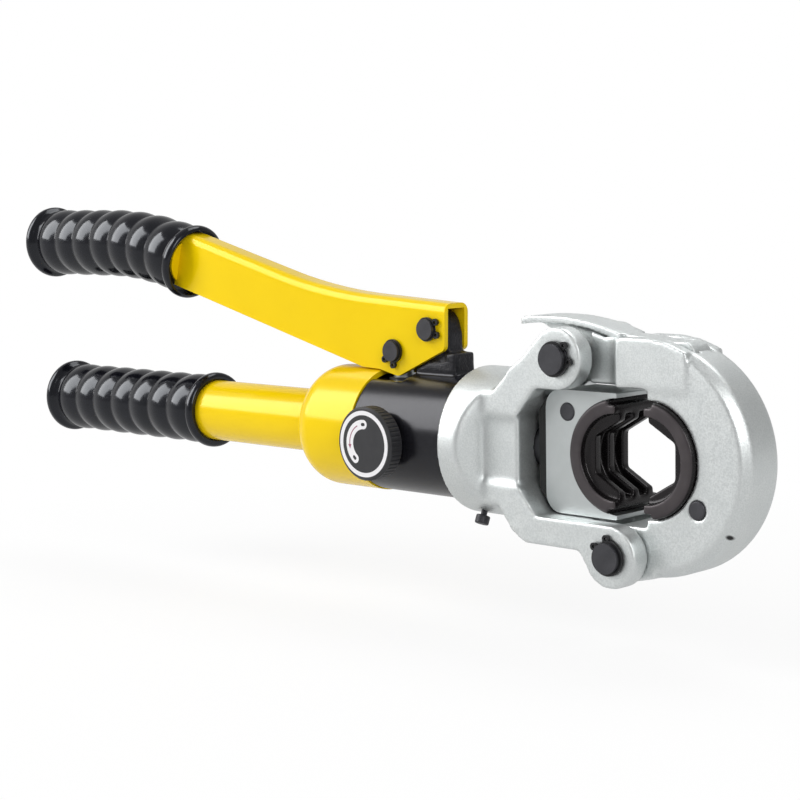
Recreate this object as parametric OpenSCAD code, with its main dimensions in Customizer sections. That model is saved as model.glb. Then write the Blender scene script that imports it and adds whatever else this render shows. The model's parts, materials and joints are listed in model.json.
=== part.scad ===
// Hydraulic crimping tool with a hand pump, a swivel head and a hinged jaw.
// Millimetres. The pipe axis of the closed dies is the Y axis through the origin,
// the tool lies along X with its jaw at +X, and +Z is up, on the pump lever's side.

/* [Dies] */
// Outer radius of each half die
die_r = 25; // [23:0.5:28]
// Width of the dies along the pipe
die_w = 31; // [28:1:40]
// Gap between the dies when the ram is back
die_gap = 14.6; // [10:0.1:15]
// Distance from the pipe axis to a flat of the six-sided crimp profile
crimp_flat = 13.4; // [9:0.1:14]
// Radial depth of the grooves between the crimp lands
crimp_groove = 2.5; // [1:0.25:3]
// Width of each crimp land
crimp_land_w = 4.6; // [3:0.2:5]
// Radial width of the plain rim on each die face
die_rim = 6.5; // [5:0.5:7]
// Depth of the round recess in each die face
die_recess = 3.5; // [2:0.5:4]

/* [Jaw] */
// Thickness of the jaw along the pipe
jaw_t = 26; // [22:1:28]
// Radial thickness of the jaw outside the die
jaw_wall = 25; // [22:0.5:28]
// Radial height of the rounded shoulder at the jaw's rim
jaw_edge = 3.5; // [2:0.5:5]
// Width of the flat band round the jaw's rim
jaw_band_w = 17; // [12:1:20]
// Height of the raised pad on each face of the jaw's upper block
pad_h = 0.5; // [0.2:0.1:1]
// How far the upper block reaches behind the die's centre
block_back = 16; // [13:0.5:18]
// How far the raised pad reaches in front of the die's centre
pad_front = 20; // [14:1:24]
// Thickness of the tongue that enters the upper ears
tongue_t = 19; // [17:0.5:20]
// Radius of the fillet between the tongue and the block
tongue_fillet = 3.6; // [2:0.2:3.6]

/* [Latch] */
// Thickness of the latch strap
latch_t = 12; // [9:0.5:13]
// Width of the thumb paddle on the latch
paddle_w = 18; // [14:1:22]
// Thickness of the thumb paddle
paddle_t = 3.2; // [2.4:0.2:4]
// Radius of the arch that the paddle follows
paddle_arch_r = 120; // [100:5:160]
// How far the paddle reaches behind the upper pin
paddle_back = 37; // [28:1:40]
// Diameter of the pin that the latch turns on
latch_pin_d = 6; // [4:0.5:7]
// Radius of the latch's eye
latch_eye_r = 7; // [6:0.5:8]
// How far the latch pin stands in front of the die's centre
latch_pin_front = 13; // [10:0.5:15]
// Radial thickness of the latch hook round the upper pin
hook_wall = 5; // [4:0.5:6]

/* [Fork] */
// Diameter of the hinge pin and of the latch pin in the ears
pin_d = 13; // [10:0.5:14]
// Radial thickness of each ear round its pin
ear_wall = 7; // [6:0.5:9]
// Thickness of each ear
ear_t = 9.6; // [8:0.2:12]
// How far the lower pin stands behind the die's centre
hinge_pin_back = 12.2; // [11:0.2:14]
// How far the upper pin stands behind the die's centre
upper_pin_back = 40.5; // [39:0.5:44]
// How far each pin stands out of its ear
pin_proud = 3.5; // [3:0.25:5]
// Thickness of the snap rings
clip_t = 1.2; // [1:0.1:1.4]

/* [Ram] */
// Height of the ram block
ram_h = 54; // [53.4:0.2:58]
// Length of the ram block
ram_l = 38.5; // [36:0.5:44]
// Thickness of the ram block along the pipe
ram_w = 26; // [20:1:26]
// Radius of the ram's rear corners
ram_corner_r = 8; // [4:1:12]
// Diameter of the piston rod
rod_d = 20; // [16:1:22]
// Diameter of the piston
piston_d = 36; // [30:1:36]
// Length of the piston
piston_l = 9.5; // [8:0.5:11]
// Clear length behind the ram block when it is back
ram_back_gap = 9; // [7:0.5:12]
// Diameter of the die release buttons
button_d = 8; // [6:0.5:9]
// Travel of the die release buttons
button_travel = 2.5; // [2:0.25:3]

/* [Head] */
// Diameter of the head's round socket
head_d = 67; // [64:1:74]
// Length of the socket that turns on the pump
socket_l = 32.8; // [31:0.2:38]
// Thickness of the wall between the socket and the ram's window
head_wall_t = 4.7; // [4:0.2:7]
// Depth of the shallow waist on each side of the neck
waist = 1.5; // [0.5:0.25:2.5]
// Height of the lower arm at its thinnest
arm_h = 12.5; // [10:0.1:13]

/* [Pump] */
// Diameter of the pump body
pump_d = 57.5; // [56:0.5:60]
// Length of the pump body
pump_l = 58.5; // [57:0.5:66]
// Diameter of the cylinder barrel that carries the head
barrel_d = 50; // [46:1:54]
// Diameter of the barrel's front, between the head's flats
barrel_front_d = 41; // [40:0.5:42]
// Diameter of the pump plunger
plunger_d = 10; // [8:0.5:10]
// Diameter of the lever's two pins
lever_pin_d = 9.5; // [8:0.5:10]
// How far the fulcrum stands behind the front of the pump body
fulcrum_back = 27.1; // [26:0.2:30]
// Height of the fulcrum above the tool's axis
fulcrum_z = 49.2; // [48:0.2:52]
// Distance along X between the fulcrum and the plunger pin at rest
plunger_pin_back = 22; // [21:0.5:24]
// Drop from the fulcrum to the plunger pin at rest
plunger_pin_drop = 11.1; // [10:0.1:12]
// Width of the cast lug between the lever's cheeks
lug_w = 10.4; // [8:0.2:10.4]
// Diameter of the release knob
knob_d = 34; // [28:1:36]
// Thickness of the release knob
knob_t = 8.6; // [7:0.2:11]
// Number of ridges round the release knob
knob_ridges = 48; // [24:2:60]

/* [Reservoir and fixed handle] */
// Diameter of the reservoir cover
cover_d = 58.5; // [58:0.5:62]
// Length of the reservoir cover
cover_l = 42.6; // [38:0.2:54]
// Wall of the reservoir cover
cover_wall = 2.5; // [2:0.25:3]
// Diameter of the fixed handle tube
tube_d = 31; // [28:0.5:33]
// Wall of the fixed handle tube
tube_wall = 2.5; // [2:0.25:3]
// Length of bare tube between the cover and the lower grip
tube_bare = 84; // [70:1:110]

/* [Grips] */
// Length of each grip along its middle
grip_l = 126; // [105:1:140]
// Diameter over the grip's bumps
grip_d = 36; // [35:0.5:40]
// Depth of the valleys between the bumps
grip_valley = 1.5; // [0.5:0.1:1.6]
// Diameter of the grip's end flanges
flange_d = 39; // [38:0.2:44]
// Length of each end flange
flange_l = 8; // [6:0.5:10]
// Number of bumps on each grip
grip_bumps = 7; // [5:1:9]
// Number of bumps on the part of the upper grip that follows the sloping lever
sloped_bumps = 2; // [1:1:4]

/* [Pump lever] */
// Outer width of the lever channel
lever_w = 16; // [15.6:0.2:20]
// Sheet thickness of the lever channel
lever_wall = 2.4; // [2:0.1:2.4]
// Depth of the lever channel
lever_h = 28.2; // [26:0.2:30]
// How far the channel reaches in front of the fulcrum
lever_front = 10.6; // [10:0.1:12]
// How far the channel's top stands above the fulcrum
lever_rise = 12; // [11.5:0.1:13.5]
// Length of the nearly level front part of the channel
lever_level = 48; // [40:1:60]
// Slope of the front part
lever_slope_front = 3.2; // [1:0.2:5]
// Slope of the rear part
lever_slope_rear = 14.5; // [11:0.25:16]
// Radius of the bend between the two slopes
lever_bend_r = 335; // [250:5:400]
// Length of the sloping rear part up to the grip
lever_rear = 75; // [65:0.5:95]
// Diameter of the round tang inside the upper grip
tang_d = 26; // [20:0.5:28]

/* [Fits] */
// Radial clearance of a running fit
fit = 0.05; // [0.02:0.01:0.1]
// Clearance between bodies that pass each other
play = 0.4; // [0.3:0.05:0.5]

/* [Hidden] */
$fn = 64;
far = 200;
arc_steps = 6;

// Places along the tool, from the dies backwards
die_chamfer = 0.8;
die_notch = 2.6;
die_notch_l = 4;
seat_r = die_r + fit;
ram_die_x = -die_gap;
ram_lip = 0.9;
ram_front_x = ram_die_x - ram_lip;
ram_back_x = ram_front_x - ram_l;
window_x = ram_back_x - ram_back_gap;
wall_x = window_x - head_wall_t;
barrel_x = wall_x - play;
barrel_front_l = 23;
barrel_step_x = window_x - barrel_front_l;
head_x = wall_x - socket_l;
pump_x = head_x - play;
pump_back_x = pump_x - pump_l;
cover_x = pump_back_x - cover_l;
grip_x = cover_x - tube_bare;
grip_end = 3;
tube_x = grip_x - grip_l + grip_end;
tube_in = 11;
plug_l = 10;

// Fork
jaw_r = die_r + jaw_wall;
ear_r = pin_d/2 + ear_wall;
ear_in = jaw_t/2 + play;
ear_out = ear_in + ear_t;
ram_play = 0.6;
window_h = ram_h + 2*ram_play;
pin_z = window_h/2 + ear_r;
hinge_x = -hinge_pin_back;
upper_x = -upper_pin_back;
pin_end = ear_out + pin_proud;
clip_y = ear_out + play;
clip_groove = 0.8;
clip_ring = 0.18;
clip_lug_r = 1.7;
clip_lug_turn = 27;
clip_hole_r = 0.7;
upper_clip_turn = -20;
hinge_clip_turn = -122;
fulcrum_clip_turn = -5;
plunger_clip_turn = 115;
eye_r = ear_r - 1;
slot_back = ear_r + 2;
neck_x = window_x - 24;
flat_x = window_x - 21;
body_x = window_x - 9;
neck_z = 20;
arm_z = window_h/2 + arm_h;
fork_root = [window_x - 17.5, 21];
fork_slope = [upper_x - 25.5, pin_z - 5];
fork_shoulder = [upper_x - 19.5, pin_z - 0.6];
fork_r = 4;
upper_tangent = ear_r*[-0.74, 0.68];
hinge_tangent = ear_r*[-0.86, -0.5];
arm_front_x = hinge_x - ear_r - 3;
arm_front_r = 3;
arm_back_x = window_x + 4;
arm_back_r = 6;
arm_heel = [window_x - 3, 4.5 - arm_z];
arm_neck = [window_x - 12, -23];
arm_heel_r = 5;
window_corner = [11, 13];
window_r = 3;
waist_h = 31;
waist_x = flat_x + 1;

// Jaw block, tongue and latch
block_low = window_h/2 + 1.8;
block_top = pin_z + 9.9;
tongue_low = block_low + 0.6;
tongue_top = block_top - 3.4;
tongue_x = upper_x + pin_d/2 + 1;
latch_x = latch_pin_front;
latch_z = block_top - 8.2;
latch_slot = latch_t/2 + 0.3;
strap_low = latch_z + 1.2;
strap_top = latch_z + 6.4;
hook_r = pin_d/2 + play;
hook_tip_angle = 143;
paddle_top = block_top + 7.2;
paddle_mid_x = upper_x - 15;
paddle_front_x = -block_back - 0.8;
hook_out = hook_r + hook_wall;
hook_tip = hook_out*[cos(hook_tip_angle), sin(hook_tip_angle)];
hook_front = hook_out*[0.94, 0.34];
hook_reach = 17;
hook_drop = 30;
strap_nose_z = block_top + 0.6;
strap_rise_x = -block_back - 4;
web_z = paddle_top - paddle_t/2;
web_front_x = upper_x - 4;
web_back_x = upper_x - 24;
latch_pin_in = latch_slot + 3.2;
pad_r = 8;
pad_back_r = 4;
pad_low_r = 1.5;
pad_peak = jaw_r*0.99;
foot_x = 4;
foot_z = -jaw_r*0.995;
tongue_r = 1;
tongue_root_x = 6 - block_back;

// Die release buttons
button_r = button_d/2;
button_y = -jaw_t/2 - 0.6;
button_in = -1;
button_pocket = 8;
ram_button_x = ram_die_x - 27.4;
ram_button_z = 17.5;
jaw_button_turn = -36;
jaw_button_at = die_r + button_r + 2.4;
jaw_button_x = jaw_button_at*cos(jaw_button_turn);
jaw_button_z = jaw_button_at*sin(jaw_button_turn);

// Cylinder, piston and swivel
chamber_x = pump_x - 1.1;
piston_x = chamber_x + 0.5;
piston_front_x = piston_x + piston_l;
rod_seat = 9.7;
rod_seat_r = rod_d/2 - 2;
buffer_t = 5;
buffer_h = ram_h - 7;
buffer_back_h = buffer_h - 13;
buffer_w = ram_w - 3;
buffer_r = 2;
seal_w = 4;
seal_h = 3;
screw_x = head_x + 10.5;
screw_turn = 23;
screw_r = 1.4;
screw_head_r = 3.2;
screw_head_h = 4;
screw_neck = 2;
groove_w = 5;
groove_h = 2.2;
oring_x = head_x + 4;

// Plunger pump
fulcrum_x = pump_x - fulcrum_back;
pin_rest_x = fulcrum_x - plunger_pin_back;
pin_rest_z = fulcrum_z - plunger_pin_drop;
crank = norm([plunger_pin_back, plunger_pin_drop]);
plunger_x = fulcrum_x - (plunger_pin_back + crank)/2;
eye_slot = (crank - plunger_pin_back)/2 + 0.25;
plunger_eye_r = lever_pin_d/2 + 3;
plunger_low = -11;
bore_low = -18;
gland_z = 19;
gland_r = plunger_d/2 + 2;
gland_seal_h = 2.4;
gland_proud = 0.6;
flat_z = pump_d/2 - 4;
ball_r = 3.2;
outlet_z = -13.5;
suction_z = -20.5;
passage_r = 2;
valve_r = 4;
outlet_seat_x = pump_x - 22;
outlet_plug_l = 3;
relief_x = pump_x - 26;
relief_seat_y = 6;
relief_hole_r = 1.6;
relief_ball_r = 2.6;
relief_ball_y = relief_seat_y + sqrt(relief_ball_r*relief_ball_r - relief_hole_r*relief_hole_r) + fit;
relief_screw_y = relief_seat_y + 11.6;
relief_out_y = relief_screw_y + 4.6;
relief_socket = 2.6;
outlet_ball_x = outlet_seat_x + sqrt(ball_r*ball_r - passage_r*passage_r) + fit;
spigot_l = 10;
spigot_r = cover_d/2 - cover_wall - fit;
bag_r = spigot_r - 0.6;
bag_wall = 1.5;
bag_l = 12;
bag_neck_r = tube_d/2 - tube_wall - 1.5;
bag_neck_l = cover_l + 60;
filter_r = 4;
filter_in_r = 3.2;
filter_l = 8;
filter_lift = 1;

// Lug
lug_front_x = fulcrum_x + 15.5;
lug_block_z = fulcrum_z - 10.7;
lug_saddle_z = fulcrum_z - 15.3;
lug_upright_x = fulcrum_x + 10.2;
lug_back_x = fulcrum_x - 10.8;
lug_block_x = fulcrum_x + 9.5;
lug_block_w = 14;
lug_foot_x = fulcrum_x - 9;
lug_saddle_x = fulcrum_x - 1.3;
lug_slope = 3.5;
lug_top_r = lever_rise - lever_wall - 0.5;

// Release valve
knob_x = pump_x - 40.6;
knob_z = -2;
knob_y = -pump_d/2 - 0.4;
stem_r = 4;
stem_tip_y = -9;
stem_cone = 3;
release_y = -6;
label_t = 0.3;
label_r = knob_d/2 - 1.5;
knob_rim = 1;
knob_face = 3;

// Lever and grips
lever_cheek = lever_w/2;
lever_in = lever_cheek - lever_wall;
lever_pin_y = lever_cheek + 3;
lever_clip_y = lever_cheek + 0.4;
lever_start = [fulcrum_x + lever_front, fulcrum_z + lever_rise];
lever_mid = lever_start + lever_level*[-cos(lever_slope_front), sin(lever_slope_front)];
bend_centre = lever_mid + lever_bend_r*[sin(lever_slope_front), cos(lever_slope_front)];
bend_end = bend_centre - lever_bend_r*[sin(lever_slope_rear), cos(lever_slope_rear)];
lever_along = [-cos(lever_slope_rear), sin(lever_slope_rear)];
lever_down = [-sin(lever_slope_rear), -cos(lever_slope_rear)];
lever_end = bend_end + lever_rear*lever_along;
grip_mouth = 6;
grip_drop = 1.4;
grip_in = lever_end + (lever_h/2 + grip_drop)*lever_down - grip_mouth*lever_along;
grip_pitch = (grip_l - 2*flange_l)/grip_bumps;
grip_sloped = flange_l + sloped_bumps*grip_pitch;
grip_level = grip_l - grip_sloped;
grip_bend = grip_in + grip_sloped*lever_along;
grip_knuckle = 0.6;
valley_r = grip_d/2 - grip_valley;
flange_lip = flange_l*0.3;
bump_steps = 6;
tang_knuckle = 0.4;
tang_l = grip_sloped - grip_mouth + 2;
tang_level = grip_level - grip_end;
lever_steps = 12;
lever_cap = 5;
front_along = [-cos(lever_slope_front), sin(lever_slope_front)];
front_down = [-sin(lever_slope_front), -cos(lever_slope_front)];
lever_low_end = lever_end + lever_h*lever_down;
lever_knee_x = pump_back_x - 12;
lever_knee = [lever_knee_x, lever_low_end[1] - (lever_knee_x - lever_low_end[0])*tan(lever_slope_rear)];
lever_step = [pump_back_x - 0.6, cover_d/2 - 0.15];
mouth_r = norm([lever_w/2, lever_h/2 + grip_drop]) + 0.3;
cheek_corner_x = pin_rest_x + 2.5;
cheek_corner_r = 4;
cheek_front_r = 3;
cheek_rake = 0.5;
cheek_corner_z = flat_z + 1.55;
cheek_front_z = fulcrum_z - 9.2;

// Shapes that repeat

function unit(v) = v/norm(v);

// Corner of an outline with its radius
function corner(p, r) = [p[0], p[1], r];

// Outline whose corners [x, y, radius] are rounded
function rounded(p) = [
    for (i = [0:len(p) - 1])
        let (
            b = [p[i][0], p[i][1]],
            a = [p[(i + len(p) - 1) % len(p)][0], p[(i + len(p) - 1) % len(p)][1]],
            c = [p[(i + 1) % len(p)][0], p[(i + 1) % len(p)][1]],
            u = unit(a - b),
            v = unit(c - b),
            half = acos(u*v)/2,
            r = p[i][2],
            centre = b + unit(u + v)*r/sin(half),
            start = b + u*r/tan(half) - centre,
            turn = sign(cross(-u, v))*(180 - 2*half),
            from = atan2(start[1], start[0])
        )
        each r == 0 ? [b] : [
            for (k = [0:arc_steps])
                centre + r*[cos(from + turn*k/arc_steps), sin(from + turn*k/arc_steps)]
        ]
];

// Round bar along X
module rod_x(x0, x1, r) {
    translate([x0, 0, 0]) rotate([0, 90, 0]) cylinder(h = x1 - x0, r = r);
}

// Round bar along Y at a place in the side view
module rod_y(x, z, y0, y1, r) {
    translate([x, y0, z]) rotate([-90, 0, 0]) cylinder(h = y1 - y0, r = r);
}

// Side view outline given a thickness along Y
module plate(w) {
    rotate([90, 0, 0]) linear_extrude(w, center = true) children();
}

// Profile of [radius, length] turned about X, with its length along +X from x
module turned_x(x) {
    translate([x, 0, 0]) rotate([0, 90, 0]) rotate_extrude() children();
}

// Plain ring along X
module ring_x(x0, x1, r_in, r_out) {
    difference() {
        rod_x(x0, x1, r_out);
        rod_x(x0 - 1, x1 + 1, r_in);
    }
}

// Plain ring along Z
module ring_z(x, z0, z1, r_in, r_out) {
    translate([x, 0, z0]) difference() {
        cylinder(h = z1 - z0, r = r_out);
        translate([0, 0, -1]) cylinder(h = z1 - z0 + 2, r = r_in);
    }
}

// Coil spring along +Z from the origin, one unbroken wire
module coil(r, wire, length, turns) {
    sides = 6;
    rings = turns*12;
    climb = length - wire;
    points = [
        for (i = [0:rings], j = [0:sides - 1])
            let (
                at = 360*turns*i/rings,
                out = r + wire/2*cos(360*j/sides)
            )
            [out*cos(at), out*sin(at), wire/2 + climb*i/rings + wire/2*sin(360*j/sides)]
    ];
    skin = [
        for (i = [0:rings - 1], j = [0:sides - 1])
            let (
                a = i*sides + j,
                b = i*sides + (j + 1) % sides,
                c = b + sides,
                d = a + sides
            )
            each [[a, b, c], [a, c, d]]
    ];
    last = rings*sides;
    caps = [
        for (j = [1:sides - 2])
            each [[0, j + 1, j], [last, last + j, last + j + 1]]
    ];
    polyhedron(points, concat(skin, caps));
}

// Snap ring in the groove of a pin along Y, with its gap turned to one side
module snap_ring(x, z, y0, pin_r, gap_turn) {
    ring = pin_r*clip_ring;
    groove_r = pin_r - clip_groove + fit;
    lug_at = pin_r + clip_lug_r;
    gap = far*[cos(clip_lug_turn/2), sin(clip_lug_turn/2)];
    translate([x, y0, z]) rotate([-90, gap_turn, 0]) difference() {
        union() {
            cylinder(h = clip_t, r = pin_r + ring);
            for (side = [-1, 1])
                rotate([0, 0, side*clip_lug_turn]) translate([lug_at, 0, 0])
                    cylinder(h = clip_t, r = clip_lug_r);
        }
        translate([0, 0, -1]) cylinder(h = clip_t + 2, r = groove_r);
        translate([0, 0, -1]) linear_extrude(clip_t + 2)
            polygon([[0, 0], [gap[0], -gap[1]], gap]);
        for (side = [-1, 1])
            rotate([0, 0, side*clip_lug_turn]) translate([lug_at, 0, -1])
                cylinder(h = clip_t + 2, r = clip_hole_r);
    }
}

// Snap rings on both ends of a pin
module snap_rings(x, z, y0, pin_r, gap_turn) {
    snap_ring(x, z, y0, pin_r, gap_turn);
    mirror([0, 1, 0]) snap_ring(x, z, y0, pin_r, gap_turn);
}

// Pin along Y with a snap ring groove near each end
module grooved_pin(x, z, half, groove_y, r) {
    difference() {
        rod_y(x, z, -half, half, r);
        for (side = [-1, 1])
            translate([x, side*(groove_y + clip_t/2), z]) rotate([90, 0, 0]) difference() {
                cylinder(h = clip_t + 2*fit, r = r + 1, center = true);
                cylinder(h = clip_t + 4*fit, r = r - clip_groove, center = true);
            }
    }
}

// Corners of an end flange and a run of bumps as [radius, length, rounding]
function grip_corners(bumps) = concat(
    [
        [0, 0, 0], [flange_d/2, 0, flange_lip], [flange_d/2, flange_l, flange_lip],
        [valley_r, flange_l, 0]
    ],
    [
        for (i = [0:bumps - 1], k = [1:bump_steps])
            let (swell = grip_valley*sin(180*k/bump_steps))
            [valley_r + swell, flange_l + grip_pitch*(i + k/bump_steps), 0]
    ]
);

// One end of a grip along +X from the origin, up to a number of bumps
module grip_half(bumps) {
    turned_x(0) polygon(rounded(concat(
        grip_corners(bumps), [[0, flange_l + grip_pitch*bumps, 0]]
    )));
}

// Half die on the +X side of the pipe axis, with its lands and grooves
module half_die() {
    corner_r = crimp_flat/cos(30);
    recess_y = die_w/2 - die_recess;
    land_pitch = recess_y - crimp_land_w/2;
    groove_half = (land_pitch - crimp_land_w)/2;
    difference() {
        rotate([90, 0, 0]) rotate_extrude() polygon([
            [0, -die_w/2], [die_r - die_chamfer, -die_w/2], [die_r, -die_w/2 + die_chamfer],
            [die_r, die_w/2 - die_chamfer], [die_r - die_chamfer, die_w/2], [0, die_w/2]
        ]);
        translate([-far, -far/2, -far/2]) cube(far);
        plate(far) rotate(30) circle(corner_r, $fn = 6);
        for (side = [-1, 1]) {
            translate([0, side*land_pitch/2, 0])
                rod_y(0, 0, -groove_half, groove_half, corner_r + crimp_groove);
            translate([0, side*(recess_y + far/2), 0]) rod_y(0, 0, -far/2, far/2, die_r - die_rim);
            // Notch at the outer end of the parting face
            translate([die_notch_l - far, -far/2, side*(die_r - die_notch + far/2) - far/2])
                cube(far);
        }
    }
}

// Pump, the fixed body

module pump_body() {
    color([0.14, 0.14, 0.15]) difference() {
        union() {
            rod_x(pump_back_x, pump_x, pump_d/2);
            rod_x(pump_x - 1, barrel_step_x - play, barrel_d/2);
            rod_x(pump_x, barrel_x, barrel_front_d/2);
            rod_x(pump_back_x - spigot_l, pump_back_x + 1, spigot_r);
            plate(lug_w) {
                translate([fulcrum_x, fulcrum_z]) circle(lug_top_r);
                polygon([
                    [lug_back_x, 0], [lug_upright_x, 0], [lug_upright_x, fulcrum_z - 1],
                    [fulcrum_x, fulcrum_z], [lug_back_x, fulcrum_z - lug_slope]
                ]);
            }
            plate(lug_block_w) polygon([
                [lug_foot_x, 0], [lug_front_x, 0], [lug_front_x, lug_block_z],
                [lug_block_x, lug_block_z], [lug_block_x, lug_saddle_z],
                [lug_saddle_x, lug_saddle_z], [lug_foot_x, lug_saddle_z - lug_slope]
            ]);
        }
        pump_body_cuts();
    }
}

module pump_body_cuts() {
    // Flat that the plunger comes out of
    translate([pump_back_x - far, -far/2, flat_z]) cube([far + lug_back_x - pump_back_x, far, far]);
    // Fulcrum hole
    rod_y(fulcrum_x, fulcrum_z, -far, far, lever_pin_d/2 + fit);
    // Cylinder bore, swivel groove and seal groove
    rod_x(chamber_x, barrel_x + 1, piston_d/2);
    ring_x(screw_x - groove_w/2, screw_x + groove_w/2, barrel_d/2 - groove_h, barrel_d);
    ring_x(oring_x - seal_w/2 - fit, oring_x + seal_w/2 + fit, barrel_d/2 - groove_h, barrel_d);
    // Plunger bore with its gland pocket
    translate([plunger_x, 0, bore_low]) cylinder(h = far, r = plunger_d/2 + fit);
    translate([plunger_x, 0, gland_z]) cylinder(h = far, r = gland_r + fit);
    // Suction passage under the inlet ball
    translate([plunger_x, 0, suction_z]) cylinder(h = bore_low - suction_z + 1, r = passage_r);
    translate([0, 0, suction_z]) rod_x(pump_back_x - far, plunger_x, passage_r);
    // Outlet passage with its valve pocket
    translate([0, 0, outlet_z]) rod_x(plunger_x, chamber_x + 1, passage_r);
    translate([0, 0, outlet_z]) rod_x(outlet_seat_x, chamber_x + 1, valve_r);
    // Release valve between the cylinder and the reservoir
    rod_y(knob_x, knob_z, -far, stem_tip_y, stem_r + fit);
    rod_y(knob_x, knob_z, stem_tip_y - 1, release_y, passage_r);
    translate([0, release_y, knob_z]) rod_x(knob_x, chamber_x + 1, passage_r - fit);
    translate([0, stem_tip_y - stem_cone, knob_z]) rod_x(pump_back_x - far, knob_x, passage_r);
    // Relief valve and its return to the reservoir
    rod_y(relief_x, outlet_z, relief_seat_y, far, valve_r + fit);
    rod_y(relief_x, outlet_z, 0, relief_seat_y + 1, relief_hole_r);
    translate([0, relief_seat_y + relief_ball_r, outlet_z])
        rod_x(pump_back_x - far, relief_x, passage_r);
}

module reservoir_cover() {
    shoulder = cover_d/2 - tube_d/2;
    shoulder_in = shoulder - cover_wall;
    collar = 3;
    collar_turn = acos(collar/shoulder_in);
    arc_x = cover_x + shoulder;
    collar_x = cover_x + 12;
    color([0.97, 0.83, 0]) rotate([0, 90, 0]) rotate_extrude() polygon(concat(
        [[cover_d/2 - cover_wall, pump_back_x], [cover_d/2, pump_back_x]],
        [for (k = [0:3*arc_steps])
            let (t = 90*k/(3*arc_steps))
            [tube_d/2 + fit + shoulder*cos(t), arc_x - shoulder*sin(t)]],
        [[tube_d/2 + fit, collar_x], [tube_d/2 + collar, collar_x]],
        [for (k = [2*arc_steps:-1:0])
            let (t = collar_turn*k/(2*arc_steps))
            [tube_d/2 + fit + shoulder_in*cos(t), arc_x - shoulder_in*sin(t)]]
    ));
}

module handle_tube() {
    color([0.97, 0.83, 0]) ring_x(tube_x, cover_x + tube_in, tube_d/2 - tube_wall, tube_d/2);
}

module tube_plug() {
    color([0.6, 0.6, 0.62]) rod_x(tube_x, tube_x + plug_l, tube_d/2 - tube_wall - fit);
}

module lower_grip() {
    color([0.07, 0.07, 0.08]) difference() {
        turned_x(grip_x - grip_l) polygon(rounded(concat(
            grip_corners(grip_bumps),
            [
                [flange_d/2, grip_l - flange_l, flange_lip], [flange_d/2, grip_l, flange_lip],
                [0, grip_l, 0]
            ]
        )));
        rod_x(tube_x, grip_x + 1, tube_d/2 + fit);
    }
}

module oil_bladder() {
    bag_x = pump_back_x - spigot_l - play;
    color([0.15, 0.15, 0.16]) difference() {
        union() {
            rod_x(bag_x - bag_l, bag_x, bag_r);
            rod_x(bag_x - bag_neck_l, bag_x - 1, bag_neck_r);
        }
        rod_x(bag_x - bag_l + bag_wall, bag_x + 1, bag_r - bag_wall);
        rod_x(bag_x - bag_neck_l + bag_wall, bag_x, bag_neck_r - bag_wall);
    }
}

module suction_filter() {
    color([0.75, 0.62, 0.35]) translate([0, 0, suction_z + filter_lift])
        ring_x(pump_back_x - spigot_l - filter_l, pump_back_x - spigot_l, filter_in_r, filter_r);
}

module inlet_ball() {
    color([0.8, 0.8, 0.82])
        translate([plunger_x, 0, bore_low + sqrt(ball_r*ball_r - passage_r*passage_r) + fit])
            sphere(r = ball_r);
}

module outlet_ball() {
    color([0.8, 0.8, 0.82])
        translate([outlet_ball_x, 0, outlet_z]) sphere(r = ball_r);
}

module outlet_spring() {
    length = chamber_x - outlet_plug_l - outlet_ball_x - ball_r - 2*fit;
    color([0.7, 0.7, 0.72]) translate([outlet_ball_x + ball_r + fit, 0, outlet_z])
        rotate([0, 90, 0]) coil(2.4, 0.8, length, 6);
}

module outlet_plug() {
    color([0.75, 0.62, 0.35]) translate([0, 0, outlet_z])
        ring_x(chamber_x - outlet_plug_l, chamber_x, 1.5, valve_r - fit);
}

module relief_ball() {
    color([0.8, 0.8, 0.82]) translate([relief_x, relief_ball_y, outlet_z]) sphere(r = relief_ball_r);
}

module relief_spring() {
    length = relief_screw_y - relief_ball_y - relief_ball_r - 2*fit;
    color([0.7, 0.7, 0.72]) translate([relief_x, relief_ball_y + relief_ball_r + fit, outlet_z])
        rotate([-90, 0, 0]) coil(2.2, 0.8, length, 5);
}

module relief_screw() {
    color([0.3, 0.3, 0.32]) difference() {
        rod_y(relief_x, outlet_z, relief_screw_y, relief_out_y, valve_r);
        translate([relief_x, relief_out_y - relief_socket, outlet_z]) rotate([-90, 0, 0])
            cylinder(h = far, r = relief_hole_r, $fn = 6);
    }
}

module plunger_seal() {
    color([0.1, 0.1, 0.1])
        ring_z(plunger_x, gland_z, gland_z + gland_seal_h, plunger_d/2 + fit, gland_r);
}

module gland_nut() {
    color([0.75, 0.62, 0.35])
        ring_z(plunger_x, gland_z + gland_seal_h + fit, flat_z + gland_proud, plunger_d/2 + fit, gland_r);
}

module fulcrum_pin() {
    color([0.2, 0.2, 0.22])
        grooved_pin(fulcrum_x, fulcrum_z, lever_pin_y, lever_clip_y, lever_pin_d/2);
}

module fulcrum_clips() {
    color([0.08, 0.08, 0.09])
        snap_rings(fulcrum_x, fulcrum_z, lever_clip_y, lever_pin_d/2, fulcrum_clip_turn);
}

module swivel_seal() {
    color([0.1, 0.1, 0.1])
        ring_x(oring_x - seal_w/2, oring_x + seal_w/2, barrel_d/2 - groove_h + fit, barrel_d/2);
}

// Pump lever with its grip

// Path along the lever's top, lowered by a depth
function lever_top(depth) = [
    for (k = [0:lever_steps])
        let (t = lever_slope_front + (lever_slope_rear - lever_slope_front)*k/lever_steps)
        bend_centre - (lever_bend_r + depth)*[sin(t), cos(t)]
];

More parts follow.
